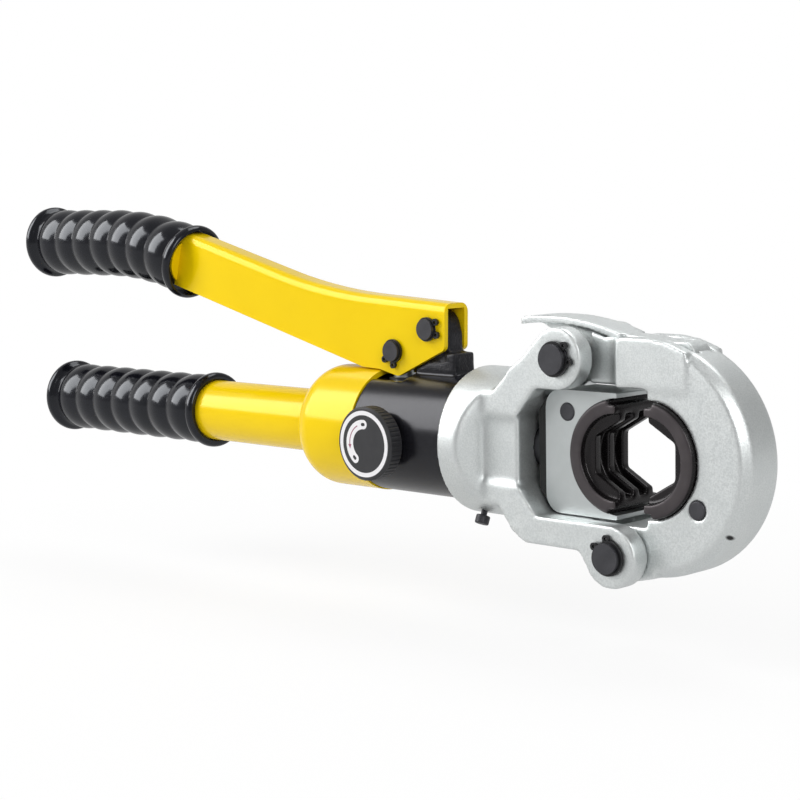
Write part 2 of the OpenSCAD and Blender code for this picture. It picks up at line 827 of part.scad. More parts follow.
// Side view of the lever
module lever_outline() {
    polygon(concat(
        [lever_start],
        lever_top(0),
        [lever_end, lever_low_end, lever_knee, lever_step],
        rounded([
            [lever_step[0], lever_step[1], 0],
            [cheek_corner_x, cheek_corner_z, cheek_corner_r],
            [lever_start[0] - cheek_rake, cheek_front_z, cheek_front_r],
            [lever_start[0], lever_start[1], 0]
        ])
    ));
}

// Side view of the hollow inside of the lever
module lever_inside() {
    polygon(concat(
        [lever_start + lever_wall*front_down - 2*front_along],
        lever_top(lever_wall),
        [
            lever_end + lever_wall*lever_down - lever_cap*lever_along,
            lever_end + far*lever_down - lever_cap*lever_along,
            [lever_start[0] + 2, -far]
        ]
    ));
}

// Round core that follows the bent middle of the upper grip, shifted by a length at both ends
module grip_core(r, shift) {
    translate([grip_bend[0], 0, grip_bend[1]]) {
        rotate([0, lever_slope_rear, 0]) rod_x(0, tang_l - shift, r);
        sphere(r = r + tang_knuckle);
        rod_x(-tang_level - shift, 0, r);
    }
}

module pump_lever() {
    color([0.97, 0.83, 0]) difference() {
        union() {
            difference() {
                plate(lever_w) lever_outline();
                plate(2*lever_in) lever_inside();
            }
            grip_core(tang_d/2, 0);
        }
        grip_core(tang_d/2 - tube_wall, lever_cap);
        rod_y(fulcrum_x, fulcrum_z, -far, far, lever_pin_d/2 + fit);
        rod_y(pin_rest_x, pin_rest_z, -far, far, lever_pin_d/2 + fit);
    }
}

module upper_grip() {
    color([0.07, 0.07, 0.08]) difference() {
        union() {
            translate([grip_in[0], 0, grip_in[1]]) rotate([0, 180 + lever_slope_rear, 0])
                grip_half(sloped_bumps);
            translate([grip_bend[0], 0, grip_bend[1]]) sphere(r = valley_r + grip_knuckle);
            translate([grip_bend[0] - grip_level, 0, grip_bend[1]])
                grip_half(grip_bumps - sloped_bumps);
        }
        grip_core(tang_d/2 + fit, 0);
        translate([grip_in[0], 0, grip_in[1]]) rotate([0, 180 + lever_slope_rear, 0])
            rod_x(-1, grip_mouth, mouth_r);
    }
}

module plunger_pin() {
    color([0.2, 0.2, 0.22])
        grooved_pin(pin_rest_x, pin_rest_z, lever_pin_y, lever_clip_y, lever_pin_d/2);
}

module plunger_clips() {
    color([0.08, 0.08, 0.09])
        snap_rings(pin_rest_x, pin_rest_z, lever_clip_y, lever_pin_d/2, plunger_clip_turn);
}

module pump_plunger() {
    eye_w = lug_w;
    slot_r = lever_pin_d/2 + 0.35;
    color([0.75, 0.76, 0.78]) difference() {
        union() {
            translate([plunger_x, 0, plunger_low])
                cylinder(h = pin_rest_z - plunger_low - lever_pin_d/2 - 1, r = plunger_d/2);
            plate(eye_w) {
                for (side = [-1, 1])
                    translate([plunger_x + side*eye_slot, pin_rest_z]) circle(plunger_eye_r);
                translate([plunger_x - eye_slot, pin_rest_z - plunger_eye_r])
                    square([2*eye_slot, 2*plunger_eye_r]);
            }
        }
        for (side = [-1, 1])
            rod_y(plunger_x + side*eye_slot, pin_rest_z, -far, far, slot_r);
        translate([plunger_x - eye_slot, -far, pin_rest_z - slot_r])
            cube([2*eye_slot, 2*far, 2*slot_r]);
    }
}

// Release valve

module release_knob() {
    rim = knob_rim;
    ridge_r = 0.7;
    color([0.17, 0.17, 0.18]) difference() {
        translate([knob_x, knob_y, knob_z]) rotate([90, 0, 0]) difference() {
            rotate_extrude() polygon([
                [0, 0], [knob_d/2 - rim, 0], [knob_d/2, rim], [knob_d/2, knob_t - rim],
                [knob_d/2 - rim, knob_t], [0, knob_t]
            ]);
            for (i = [0:knob_ridges - 1])
                rotate([0, 0, 360*i/knob_ridges]) translate([knob_d/2 + ridge_r*0.4, 0, -1])
                    cylinder(h = knob_t - rim + 0.5, r = ridge_r, $fn = 6);
            translate([0, 0, knob_t - label_t]) cylinder(h = 1, r = label_r + fit);
        }
        rod_y(knob_x, knob_z, knob_y - knob_t + knob_face, far, stem_r + fit);
    }
}

module knob_label() {
    color([0.9, 0.9, 0.9]) translate([knob_x, knob_y - knob_t + label_t, knob_z])
        rotate([90, 0, 0]) cylinder(h = label_t, r = label_r);
}

module release_stem() {
    length = stem_tip_y - stem_cone - knob_y + knob_t - knob_face - 2*fit;
    color([0.7, 0.7, 0.72]) translate([knob_x, stem_tip_y - fit, knob_z]) rotate([90, 0, 0]) {
        cylinder(h = stem_cone, r1 = passage_r + 0.5, r2 = stem_r);
        translate([0, 0, stem_cone]) cylinder(h = length, r = stem_r);
    }
}

// Swivel head

module fork_outline() {
    upper = [upper_x, pin_z];
    hinge = [hinge_x, -pin_z];
    difference() {
        union() {
            polygon(rounded([
                [neck_x, neck_z, 0],
                corner(fork_root, fork_r),
                corner(fork_slope, fork_r),
                corner(fork_shoulder, fork_r),
                corner(upper + upper_tangent, 0),
                corner(upper, 0),
                [upper_x, 0, 0],
                [hinge_x, 0, 0],
                corner(hinge, 0),
                corner(hinge + hinge_tangent, 0),
                [arm_front_x, -arm_z, arm_front_r],
                [arm_back_x, -arm_z, arm_back_r],
                corner(arm_heel, arm_heel_r),
                corner(arm_neck, arm_heel_r),
                [neck_x, -neck_z, 0]
            ]));
            translate(upper) circle(ear_r);
            translate(hinge) circle(ear_r);
        }
        polygon(rounded([
            [far, -window_h/2, 0], [far, window_h/2, 0],
            [window_x + window_corner[0], window_h/2, window_r],
            [window_x, window_h/2 - window_corner[1], window_r],
            [window_x, window_corner[1] - window_h/2, window_r],
            [window_x + window_corner[0], -window_h/2, window_r]
        ]));
    }
}

module head() {
    color([0.84, 0.86, 0.86]) difference() {
        union() {
            intersection() {
                rod_x(head_x, body_x, head_d/2);
                linear_extrude(2*far, center = true) polygon([
                    [head_x - 1, -head_d/2], [neck_x - 2, -head_d/2], [flat_x + 2, -ear_out],
                    [0, -ear_out], [0, ear_out], [flat_x + 2, ear_out],
                    [neck_x - 2, head_d/2], [head_x - 1, head_d/2]
                ]);
            }
            plate(2*ear_out) fork_outline();
        }
        // Socket for the barrel and hole for the piston rod
        rod_x(head_x - 1, barrel_step_x, barrel_d/2 + fit);
        rod_x(head_x, wall_x, barrel_front_d/2 + fit);
        rod_x(wall_x - 1, window_x + 1, rod_d/2 + fit);
        // Slots between the upper and the lower ears
        translate([upper_x - slot_back, -ear_in, 0]) cube([far, 2*ear_in, far]);
        translate([hinge_x - slot_back, -ear_in, -far]) cube([far, 2*ear_in, far]);
        // Pin holes
        rod_y(upper_x, pin_z, -far, far, pin_d/2 + fit);
        rod_y(hinge_x, -pin_z, -far, far, pin_d/2 + fit);
        // Swivel screw hole
        screw_place() cylinder(h = head_d, r = screw_r + fit);
        // Shallow waist on each side
        for (side = [-1, 1])
            translate([0, side*(ear_out - waist + far/2), 0]) plate(far)
                polygon(rounded([
                    [waist_x, -waist_h/2, window_r], [window_x + 1, -waist_h/2, 0],
                    [window_x + 1, waist_h/2 - 1, 0], [waist_x, waist_h/2 - 1, window_r]
                ]));
    }
}

// Axis of the swivel screw, outwards from the tool's axis
module screw_place() {
    translate([screw_x, 0, 0]) rotate([-screw_turn, 0, 0]) rotate([180, 0, 0]) children();
}

module swivel_screw() {
    tip_r = barrel_d/2 - groove_h + 0.5;
    color([0.1, 0.1, 0.1]) screw_place() {
        translate([0, 0, tip_r]) cylinder(h = head_d/2 + screw_neck - tip_r + 1, r = screw_r);
        translate([0, 0, head_d/2 + screw_neck]) rotate_extrude() polygon(rounded([
            [0, 0, 0], [screw_head_r, 0, 0.6], [screw_head_r, screw_head_h, 0.6],
            [0, screw_head_h, 0]
        ]));
    }
}

module upper_pin() {
    color([0.2, 0.2, 0.22]) grooved_pin(upper_x, pin_z, pin_end, clip_y, pin_d/2);
}

module upper_pin_clips() {
    color([0.08, 0.08, 0.09])
        snap_rings(upper_x, pin_z, clip_y, pin_d/2, upper_clip_turn);
}

module hinge_pin() {
    color([0.2, 0.2, 0.22]) grooved_pin(hinge_x, -pin_z, pin_end, clip_y, pin_d/2);
}

module hinge_pin_clips() {
    color([0.08, 0.08, 0.09])
        snap_rings(hinge_x, -pin_z, clip_y, pin_d/2, hinge_clip_turn);
}

module return_spring() {
    wire = 1.6;
    turns = 5;
    color([0.7, 0.7, 0.72]) translate([piston_front_x + fit, 0, 0]) rotate([0, 90, 0])
        coil((rod_d + piston_d)/4 - 1, wire, wall_x - piston_front_x - 2*fit, turns);
}

// Ram with the rear die

module ram() {
    color([0.8, 0.82, 0.82]) difference() {
        plate(ram_w) polygon(rounded([
            [ram_back_x, -ram_h/2, ram_corner_r], [ram_front_x, -ram_h/2, 0.5],
            [ram_front_x, ram_h/2, 0.5], [ram_back_x, ram_h/2, ram_corner_r]
        ]));
        rod_y(ram_die_x, 0, -far, far, seat_r);
        rod_x(ram_back_x - 1, ram_back_x + rod_seat, rod_seat_r + fit);
        rod_y(ram_button_x, ram_button_z, -far, button_pocket, button_r + fit);
    }
}

// Rubber pad that meets the head when the ram runs back
module ram_buffer() {
    color([0.08, 0.08, 0.08]) difference() {
        plate(buffer_w) polygon(rounded([
            [ram_back_x - buffer_t, -buffer_back_h/2, buffer_r],
            [ram_back_x - fit, -buffer_h/2, 0], [ram_back_x - fit, buffer_h/2, 0],
            [ram_back_x - buffer_t, buffer_back_h/2, buffer_r]
        ]));
        rod_x(ram_back_x - far, ram_back_x + 1, rod_d/2 + fit);
    }
}

module piston() {
    seal_x = piston_x + (piston_l - seal_w)/2;
    color([0.72, 0.73, 0.75]) difference() {
        union() {
            rod_x(piston_x, piston_front_x, piston_d/2 - fit);
            rod_x(piston_front_x - 1, ram_back_x - fit, rod_d/2);
            rod_x(ram_back_x - 1, ram_back_x + rod_seat - fit, rod_seat_r);
        }
        ring_x(seal_x - fit, seal_x + seal_w + fit, piston_d/2 - seal_h, piston_d);
    }
}

module piston_seal() {
    seal_x = piston_x + (piston_l - seal_w)/2;
    color([0.1, 0.1, 0.1])
        ring_x(seal_x, seal_x + seal_w, piston_d/2 - seal_h + fit, piston_d/2 - fit/2);
}

module rear_die() {
    color([0.33, 0.31, 0.32]) translate([ram_die_x, 0, 0]) mirror([1, 0, 0]) half_die();
}

// Button with a rounded face, pressed along +Y
module release_button(x, z) {
    translate([x, button_in, z]) rotate([90, 0, 0]) rotate_extrude() polygon(rounded([
        [0, 0, 0], [button_r, 0, 0], [button_r, button_in - button_y, 0.8],
        [0, button_in - button_y, 0]
    ]));
}

module button_spring(x, z) {
    translate([x, button_in + fit, z]) rotate([-90, 0, 0])
        coil(button_r - 1.2, 0.9, button_pocket - button_in - 2*fit, 5);
}

module ram_button() {
    color([0.2, 0.2, 0.22]) release_button(ram_button_x, ram_button_z);
}

module ram_button_spring() {
    color([0.7, 0.7, 0.72]) button_spring(ram_button_x, ram_button_z);
}

// Hinged jaw with the front die

module jaw() {
    color([0.84, 0.86, 0.86]) difference() {
        union() {
            rotate([90, 0, 0]) rotate([0, 0, -90]) rotate_extrude(angle = 180) polygon([
                [seat_r, -jaw_t/2], [jaw_r - jaw_edge, -jaw_t/2], [jaw_r, -jaw_band_w/2],
                [jaw_r, jaw_band_w/2], [jaw_r - jaw_edge, jaw_t/2], [seat_r, jaw_t/2]
            ]);
            // Upper block with its raised pads
            plate(jaw_t + 2*pad_h) polygon(rounded([
                [-block_back, block_low, pad_low_r], [pad_front, block_low, 0],
                [pad_front, sqrt(jaw_r*jaw_r - pad_front*pad_front), 0],
                [pad_front/2, pad_peak, pad_r], [0, block_top, pad_r],
                [-block_back, block_top, pad_back_r]
            ]));
            // Tongue between the upper ears
            translate([0, 0, tongue_low]) linear_extrude(tongue_top - tongue_low)
                polygon(rounded([
                    [tongue_x, -tongue_t/2, tongue_r],
                    [-block_back, -tongue_t/2, tongue_fillet],
                    [-block_back, -jaw_t/2 - pad_h, 0], [tongue_root_x, -jaw_t/2 - pad_h, 0],
                    [tongue_root_x, jaw_t/2 + pad_h, 0], [-block_back, jaw_t/2 + pad_h, 0],
                    [-block_back, tongue_t/2, tongue_fillet],
                    [tongue_x, tongue_t/2, tongue_r]
                ]));
            // Hinge eye
            plate(jaw_t) {
                translate([hinge_x, -pin_z]) circle(eye_r);
                polygon([
                    [hinge_x, -pin_z + eye_r], [foot_x, -pin_z + eye_r], [foot_x, foot_z],
                    [hinge_x, -pin_z - eye_r]
                ]);
            }
        }
        rod_y(0, 0, -far, far, seat_r);
        rod_y(hinge_x, -pin_z, -far, far, pin_d/2 + fit);
        // Slot for the latch strap and hook
        plate(2*latch_slot) {
            translate([latch_x, latch_z]) circle(latch_eye_r + play);
            translate([tongue_x - far, strap_low - play]) square([latch_x - tongue_x + far, far]);
            translate([tongue_x - far, 0]) square([far + hook_out - pin_d/2 + 1, far]);
        }
        rod_y(latch_x, latch_z, -latch_pin_in - 0.2, far, latch_pin_d/2 + fit);
        rod_y(jaw_button_x, jaw_button_z, -far, button_pocket, button_r + fit);
    }
}

module front_die() {
    color([0.33, 0.31, 0.32]) half_die();
}

module jaw_button() {
    color([0.2, 0.2, 0.22]) release_button(jaw_button_x, jaw_button_z);
}

module jaw_button_spring() {
    color([0.7, 0.7, 0.72]) button_spring(jaw_button_x, jaw_button_z);
}

module latch_pin() {
    color([0.7, 0.7, 0.72])
        rod_y(latch_x, latch_z, -latch_pin_in, jaw_t/2 + pad_h, latch_pin_d/2);
}

// Latch

module paddle_outline() {
    arch_z = paddle_top - paddle_arch_r;
    intersection() {
        difference() {
            translate([paddle_mid_x, arch_z]) circle(paddle_arch_r, $fn = 180);
            translate([paddle_mid_x, arch_z]) circle(paddle_arch_r - paddle_t, $fn = 180);
        }
        translate([upper_x - paddle_back, 0]) square([paddle_back + paddle_front_x - upper_x, far]);
    }
}

module latch() {
    pin = [upper_x, pin_z];
    reach = hook_reach*[cos(hook_tip_angle), sin(hook_tip_angle)];
    color([0.84, 0.86, 0.86]) difference() {
        union() {
            plate(paddle_w) paddle_outline();
            plate(latch_t) {
                translate([latch_x, latch_z]) circle(latch_eye_r);
                polygon([
                    [latch_x, strap_low], [latch_x, strap_top],
                    [-block_back, strap_nose_z], [strap_rise_x, web_z - paddle_t/2 - 2],
                    [web_front_x, web_z], [web_back_x, web_z],
                    pin + hook_tip, pin, pin + hook_front,
                    [upper_x + hook_out + 4, strap_low]
                ]);
            }
        }
        // Seat of the hook over the upper pin, open towards the pin's lower side
        rod_y(upper_x, pin_z, -far, far, hook_r);
        plate(far) polygon([
            pin, pin + reach, pin - [hook_drop, hook_drop],
            [upper_x + hook_front[0], pin_z - hook_drop], pin + hook_front
        ]);
        rod_y(latch_x, latch_z, -far, far, latch_pin_d/2 + fit);
    }
}

pump_body();
reservoir_cover();
handle_tube();
tube_plug();
lower_grip();
oil_bladder();
suction_filter();
inlet_ball();
outlet_ball();
outlet_spring();
outlet_plug();
relief_ball();
relief_spring();
relief_screw();
plunger_seal();
gland_nut();
fulcrum_pin();
fulcrum_clips();
swivel_seal();
pump_lever();
upper_grip();
plunger_pin();
plunger_clips();
pump_plunger();
release_knob();
knob_label();
release_stem();
head();
swivel_screw();
upper_pin();
upper_pin_clips();
hinge_pin();
hinge_pin_clips();
return_spring();
ram();
ram_buffer();
piston();
piston_seal();
rear_die();
ram_button();
ram_button_spring();
jaw();
front_die();
jaw_button();
jaw_button_spring();
latch_pin();
latch();
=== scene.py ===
"""Looks of a hand-pumped hydraulic crimping tool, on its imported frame.

Metres, in the frame of the CAD: the pipe axis of the closed dies is Y through the origin,
the tool lies along X with its jaw at +X, and +Z is up, on the pump lever's side.
"""

import json
import math

import bpy
import numpy as np
from mathutils import Matrix, Vector


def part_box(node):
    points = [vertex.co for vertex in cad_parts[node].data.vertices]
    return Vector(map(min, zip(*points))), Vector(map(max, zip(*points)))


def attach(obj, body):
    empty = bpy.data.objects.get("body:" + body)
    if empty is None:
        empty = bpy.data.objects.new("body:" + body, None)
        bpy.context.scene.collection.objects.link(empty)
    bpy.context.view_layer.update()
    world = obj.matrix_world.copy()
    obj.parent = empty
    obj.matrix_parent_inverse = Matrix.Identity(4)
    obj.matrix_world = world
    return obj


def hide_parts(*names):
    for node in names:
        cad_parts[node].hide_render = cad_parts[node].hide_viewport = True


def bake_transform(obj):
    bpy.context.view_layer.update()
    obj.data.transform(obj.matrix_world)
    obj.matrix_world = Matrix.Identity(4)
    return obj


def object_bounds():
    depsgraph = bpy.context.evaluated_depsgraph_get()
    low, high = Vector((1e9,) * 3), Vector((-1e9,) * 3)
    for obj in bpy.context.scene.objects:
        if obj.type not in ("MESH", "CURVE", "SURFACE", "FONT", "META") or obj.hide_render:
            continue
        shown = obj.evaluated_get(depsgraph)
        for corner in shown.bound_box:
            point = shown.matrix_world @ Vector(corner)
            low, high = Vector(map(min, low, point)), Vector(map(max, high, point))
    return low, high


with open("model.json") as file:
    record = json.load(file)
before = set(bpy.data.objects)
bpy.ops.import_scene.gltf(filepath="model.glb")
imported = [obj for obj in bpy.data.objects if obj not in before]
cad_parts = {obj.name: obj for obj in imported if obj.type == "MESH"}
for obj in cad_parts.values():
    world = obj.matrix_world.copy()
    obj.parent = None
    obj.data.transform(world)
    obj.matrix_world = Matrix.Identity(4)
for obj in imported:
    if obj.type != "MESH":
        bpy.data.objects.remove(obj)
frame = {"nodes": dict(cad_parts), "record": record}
cad_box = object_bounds()
nodes = frame["nodes"]

MM = 0.001

# The photograph's view
VIEW_TARGET = Vector((-0.1544, 0, 0.01392))
VIEW_DISTANCE = 0.92047
VIEW_AZIMUTH = math.radians(44.03)
VIEW_ELEVATION = math.radians(6.45)
VIEW_ROLL = math.radians(-0.988)
LENS = 87.28
SENSOR = 36

# Studio: each soft box has a place, a width, a height and a power
SOFTBOXES = (
    ((-1.45, -1.05, 1.02), 1.15, 1.5, 34),
    ((1.1, -0.6, 0.7), 0.6, 0.8, 8),
    ((-0.1, 0.5, 1.2), 1.0, 0.6, 6),
)
ROOM_LIGHT = 0.24
# Light of the room in mirrors, from its far left side to its near right side and its roof
MIRROR_LIGHT = (0.7, 0.35)
MIRROR_SIDES = (-0.7, 0.6)
MIRROR_RIGHT = 0.2
MIRROR_NEAR = 0.7
MIRROR_UP = 0.9

# Floor, below the reach of the opened jaw and the turned head
FLOOR_DROP = 32 * MM
FLOOR_SIZE = 12
# Share of white under the tool and away from it
FLOOR_WHITE = (0.85, 1.0)
FLOOR_WHITE_REACH = (0.16, 0.42)
# Loss of light in mirrors, from the tool's middle to its right
FLOOR_DIM = (-0.3, -0.2)
FLOOR_DIM_REACH = (0.0, 0.8)

# Meshes
WELD_REACH = 0.001 * MM
SMOOTH_FACTOR = 0.5
SOFT_PASSES = 20
GRIP_SMOOTH = math.radians(28)
LEVER_SMOOTH = math.radians(35)
COIL_SMOOTH = math.radians(50)
PIN_EASE = 0.5 * MM
PIN_EDGE = math.radians(40)

# Grips, with tables of lengths and radii in millimetres
GRIP_LENGTH = 126 * MM
GRIP_SIDES = 96
GRIP_BUMPS = 7
SLOPED_BUMPS = 2
VALLEY_RADIUS = 16.5 * MM
BUMP_HEIGHT = 1.5 * MM
BUMP_STEPS = 12
FLANGE_RADIUS = 19.5 * MM
FLANGE_LENGTH = 8 * MM
FLANGE = (
    (0.0, 17.5), (0.25, 18.3), (0.8, 18.95), (1.6, 19.35), (2.5, 19.5), (3.4, 19.5),
    (4.3, 19.3), (5.0, 18.8), (5.6, 18.0), (6.2, 17.3), (7.0, 16.85),
)
BUMP_PITCH = (GRIP_LENGTH - 2 * FLANGE_LENGTH) / GRIP_BUMPS
UPPER_MOUTH = ((0.2, 17.45), (0.8, 17.2), (5.5, 17.1))
LOWER_MOUTH = ((0.2, 16.2), (1.2, 15.6))
BEND_REACH = 30 * MM

# Lever
LEVER_SLOPE = math.radians(14.5)
LEVER_EDGE = 4.5 * MM
LEVER_RIM = 0.4 * MM
LEVER_GAP = 0.4 * MM
LEVER_SHORTEST_BEND = 3 * MM
LEVER_FLAT_ANGLE = math.radians(0.5)
LEVER_RIM_ANGLE = math.radians(50)
SIDE_FACING = 0.99
TOP_FACING = 0.9

# Jaw's upper block, where its tongue leaves it
BLOCK_RISE = 9.9 * MM
BLOCK_BOTTOM = 30.2 * MM
ROOT = -16 * MM
TONGUE_HALF = 9.5 * MM
CORNER_BACK = 8 * MM
CORNER_FRONT = 2 * MM
CORNER_INNER = 9 * MM
CORNER_OUTER = 13.1 * MM
CORNER_DROP = 0.5 * MM
HOLLOW_RADIUS = 10 * MM
HOLLOW_BACK = 7.6 * MM
HOLLOW_MIDDLE = 40 * MM
HOLLOW_HEIGHT = 60 * MM
SHOULDER_BACK = 16 * MM
SHOULDER_FRONT = 1 * MM
SHOULDER_INNER = 6.8 * MM
SHOULDER_DEPTH = 7 * MM
SHOULDER_RISE = 2 * MM
# Slope of the shoulder: a point on it, measured down from the block's top, and its upward normal
SHOULDER_PLANE = Vector((ROOT - 1 * MM, 0, -2.8 * MM))
SHOULDER_NORMAL = Vector((0.267, 0, 0.964))

# Latch
PADDLE_TRIM = 6.5 * MM

# Head: the back of its window, behind the ram
WINDOW_BACK = 9 * MM

# Where castings are softer or firmer: shares, and millimetres at which these start and are full
WAIST_BACK = (-29, -21)
WAIST_FRONT = (-1.5, -4)
WAIST_HEIGHT = (24, 17)
WAIST_SIDE = (15, 18)
PAD_SIDE = (11, 12)
PAD_TOP = (38, 33)
PAD_BOTTOM = (26.5, 28.5)
PAD_BACK = (-14, -8)
PAD_FRONT = (28, 24)
BUTTON_RIM = (8, 6)
BUTTON_HOLD = 0.8
LUG_HEIGHT = (30, 33)
LUG_SOFTNESS = 0.5
LAND_RADIUS = (18, 17)
LAND_SIDE = (-1.5, -2.5)

# Rough top of the pump body
ROUGH_HEIGHT = (28.6 * MM, 30.5 * MM)

# Ground rims of the dies, from their sides inwards
RIM_START = 0.7 * MM
RIM_FULL = 0.3 * MM

# Painted shade in a small pit low on the jaw: a near-black spot
PIT_SHADE_PLACE = (39.6 * MM, -11 * MM, -28.5 * MM)
PIT_SHADE_STRETCH = (1, 4, 1)
PIT_SHADE_RADIUS = 0.8 * MM
PIT_SHADE_REACH = 1.5 * MM

# Print on the knob's label
RING_RADIUS = 14.3 * MM
RING_HALF = 1.0 * MM
BAND_RADIUS = 9.0 * MM
BAND_HALF = 2.15 * MM
LINE_HALF = 0.28 * MM
DOT_RADIUS = 0.75 * MM
# Degrees: the middle of each arc and half its length
RING_ARC = (0, 180)
BAND_ARC = (161, 71)
LINE_ARC = (151, 34)
DOT_ARCS = ((92, 3), (228, 3))
ARROW_LENGTH = 2.2 * MM
ARROW_HALF = 1.0 * MM
ARROW_ANGLE = math.radians(184)

# Sockets of a mix node, by what it mixes
MIX_MASK = 0
MIX_FLOATS = (2, 3)
MIX_FLOAT = 0
MIX_COLOURS = (6, 7)
MIX_COLOUR = 2


# Working on meshes


def select_only(piece):
    bpy.ops.object.select_all(action="DESELECT")
    piece.select_set(True)
    bpy.context.view_layer.objects.active = piece


def apply_modifier(piece, kind, **settings):
    select_only(piece)
    modifier = piece.modifiers.new(kind.lower(), kind)
    for name, value in settings.items():
        setattr(modifier, name, value)
    bpy.ops.object.modifier_apply(modifier=modifier.name)


def copy_of(node, name):
    """Copy of a CAD node as one closed mesh."""
    piece = bpy.data.objects.new(name, nodes[node].data.copy())
    bpy.context.scene.collection.objects.link(piece)
    piece.data.materials.clear()
    select_only(piece)
    bpy.ops.object.mode_set(mode="EDIT")
    bpy.ops.mesh.select_all(action="SELECT")
    bpy.ops.mesh.remove_doubles(threshold=WELD_REACH)
    bpy.ops.object.mode_set(mode="OBJECT")
    return piece


def add_box(start, stop):
    """Closed box between two corners."""
    start, stop = Vector(start), Vector(stop)
    bpy.ops.object.select_all(action="DESELECT")
    bpy.ops.mesh.primitive_cube_add(
        size=1, location=(start + stop) / 2, scale=[abs(side) for side in stop - start],
    )
    bpy.ops.object.transform_apply()
    return bpy.context.object


def join_to(piece, other):
    select_only(piece)
    other.select_set(True)
    bpy.ops.object.join()


def cut_off(piece, point, normal):
    """Takes away what lies behind a plane, and closes the cut."""
    select_only(piece)
    bpy.ops.object.mode_set(mode="EDIT")
    bpy.ops.mesh.select_all(action="SELECT")
    bpy.ops.mesh.bisect(plane_co=point, plane_no=normal, use_fill=True, clear_inner=True)
    bpy.ops.object.mode_set(mode="OBJECT")


def places_of(piece):
    places = np.zeros(len(piece.data.vertices) * 3)
    piece.data.vertices.foreach_get("co", places)
    return places.reshape(-1, 3)


def stand_for(piece, node, body, material):
    """The finished piece takes a CAD node's place."""
    piece.data.materials.clear()
    piece.data.materials.append(material)
    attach(piece, body)
    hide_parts(node)


def turned_along(name, rings):
    """Round piece drawn out ring by ring: each ring has a place, a downward slope and a radius."""
    place, slope, radius = rings[0]
    bpy.ops.object.select_all(action="DESELECT")
    bpy.ops.mesh.primitive_circle_add(
        vertices=GRIP_SIDES, radius=radius, fill_type="NGON",
        location=place, rotation=(0, math.pi / 2 + slope, 0),
    )
    piece = bpy.context.object
    piece.name = name
    bpy.ops.object.transform_apply()
    bpy.ops.object.mode_set(mode="EDIT")
    bpy.ops.mesh.select_all(action="SELECT")
    for (here, tilt, size), (there, next_tilt, next_size) in zip(rings, rings[1:]):
        bpy.ops.mesh.extrude_region_move(TRANSFORM_OT_translate={"value": there - here})
        bpy.ops.transform.rotate(value=tilt - next_tilt, orient_axis="Y", center_override=there)
        bpy.ops.transform.resize(value=(next_size / size,) * 3, center_override=there)
    bpy.ops.mesh.select_all(action="SELECT")
    bpy.ops.mesh.normals_make_consistent(inside=False)
    bpy.ops.object.mode_set(mode="OBJECT")
    bpy.ops.object.shade_smooth_by_angle(angle=GRIP_SMOOTH)
    return piece


def select_edges(piece, wanted):
    """In edit mode, leaves selected the edges whose two face normals and length are wanted."""
    mesh = piece.data
    bpy.ops.mesh.select_mode(type="EDGE")
    bpy.ops.mesh.select_all(action="DESELECT")
    bpy.ops.object.mode_set(mode="OBJECT")
    sides = {}
    for face in mesh.polygons:
        for key in face.edge_keys:
            sides.setdefault(key, []).append(face.normal)
    for edge in mesh.edges:
        start, stop = (mesh.vertices[index].co for index in edge.vertices)
        edge.select = len(sides[edge.key]) == 2 and wanted(*sides[edge.key], (stop - start).length)
    bpy.ops.object.mode_set(mode="EDIT")


def ramp(value, limits):
    """Share from 0 to 1 as a length goes from the first limit to the second, in millimetres."""
    start, full = limits
    return min(max((value / MM - start) / (full - start), 0), 1)


def weigh(piece, name, share_at):
    """Vertex group with a share at each place."""
    group = piece.vertex_groups.new(name=name)
    for index, place in enumerate(places_of(piece)):
        share = share_at(*place)
        if share > 0:
            group.add([index], share, "REPLACE")


# Working on nodes


def connect(tree, value, socket):
    """Feeds a socket from another node, or sets it to a plain value."""
    if isinstance(value, bpy.types.NodeSocket):
        tree.links.new(value, socket)
    else:
        socket.default_value = value


def add_node(tree, kind, *values, operation=None):
    """New node whose first inputs take the values in turn."""
    node = tree.nodes.new("ShaderNode" + kind)
    if operation:
        node.operation = operation
    for value, socket in zip(values, node.inputs):
        connect(tree, value, socket)
    return node


def new_group(name, inputs, outputs):
    tree = bpy.data.node_groups.new(name, "ShaderNodeTree")
    for socket in inputs:
        tree.interface.new_socket(socket, in_out="INPUT", socket_type="NodeSocketFloat")
    for socket in outputs:
        tree.interface.new_socket(socket, in_out="OUTPUT", socket_type="NodeSocketFloat")
    return tree, tree.nodes.new("NodeGroupInput").outputs, tree.nodes.new("NodeGroupOutput").inputs


def grain_group():
    """Fine and broad noise over the surface."""
    tree, given, made = new_group("grain", ["Fine Scale", "Broad Scale"], ["Fine", "Broad"])
    place = add_node(tree, "TexCoord").outputs["Object"]
    for name, detail in (("Fine", 2.0), ("Broad", 4.0)):
        noise = add_node(tree, "TexNoise", place)
        connect(tree, given[name + " Scale"], noise.inputs["Scale"])
        connect(tree, detail, noise.inputs["Detail"])
        connect(tree, noise.outputs["Fac"], made[name])
    return tree


def edge_group():
    """Worn outer edges and painted shade in inner corners, from how far each point lies off the smooth
    shape.
    """
    tree, given, made = new_group("edges", ["Reach"], ["Worn", "Painted Shade"])
    edge = add_node(tree, "Attribute")
    edge.attribute_name = "edge"
    outward = edge.outputs["Fac"]
    # Inner corners, which the castings take as a mask for painted shade
    inward = add_node(tree, "Math", outward, -1, operation="MULTIPLY").outputs["Value"]
    for name, source in (("Worn", outward), ("Painted Shade", inward)):
        share = add_node(tree, "MapRange", source, 0, given["Reach"])
        connect(tree, share.outputs["Result"], made[name])
    return tree


GRAIN = grain_group()
EDGES = edge_group()


# Finishes


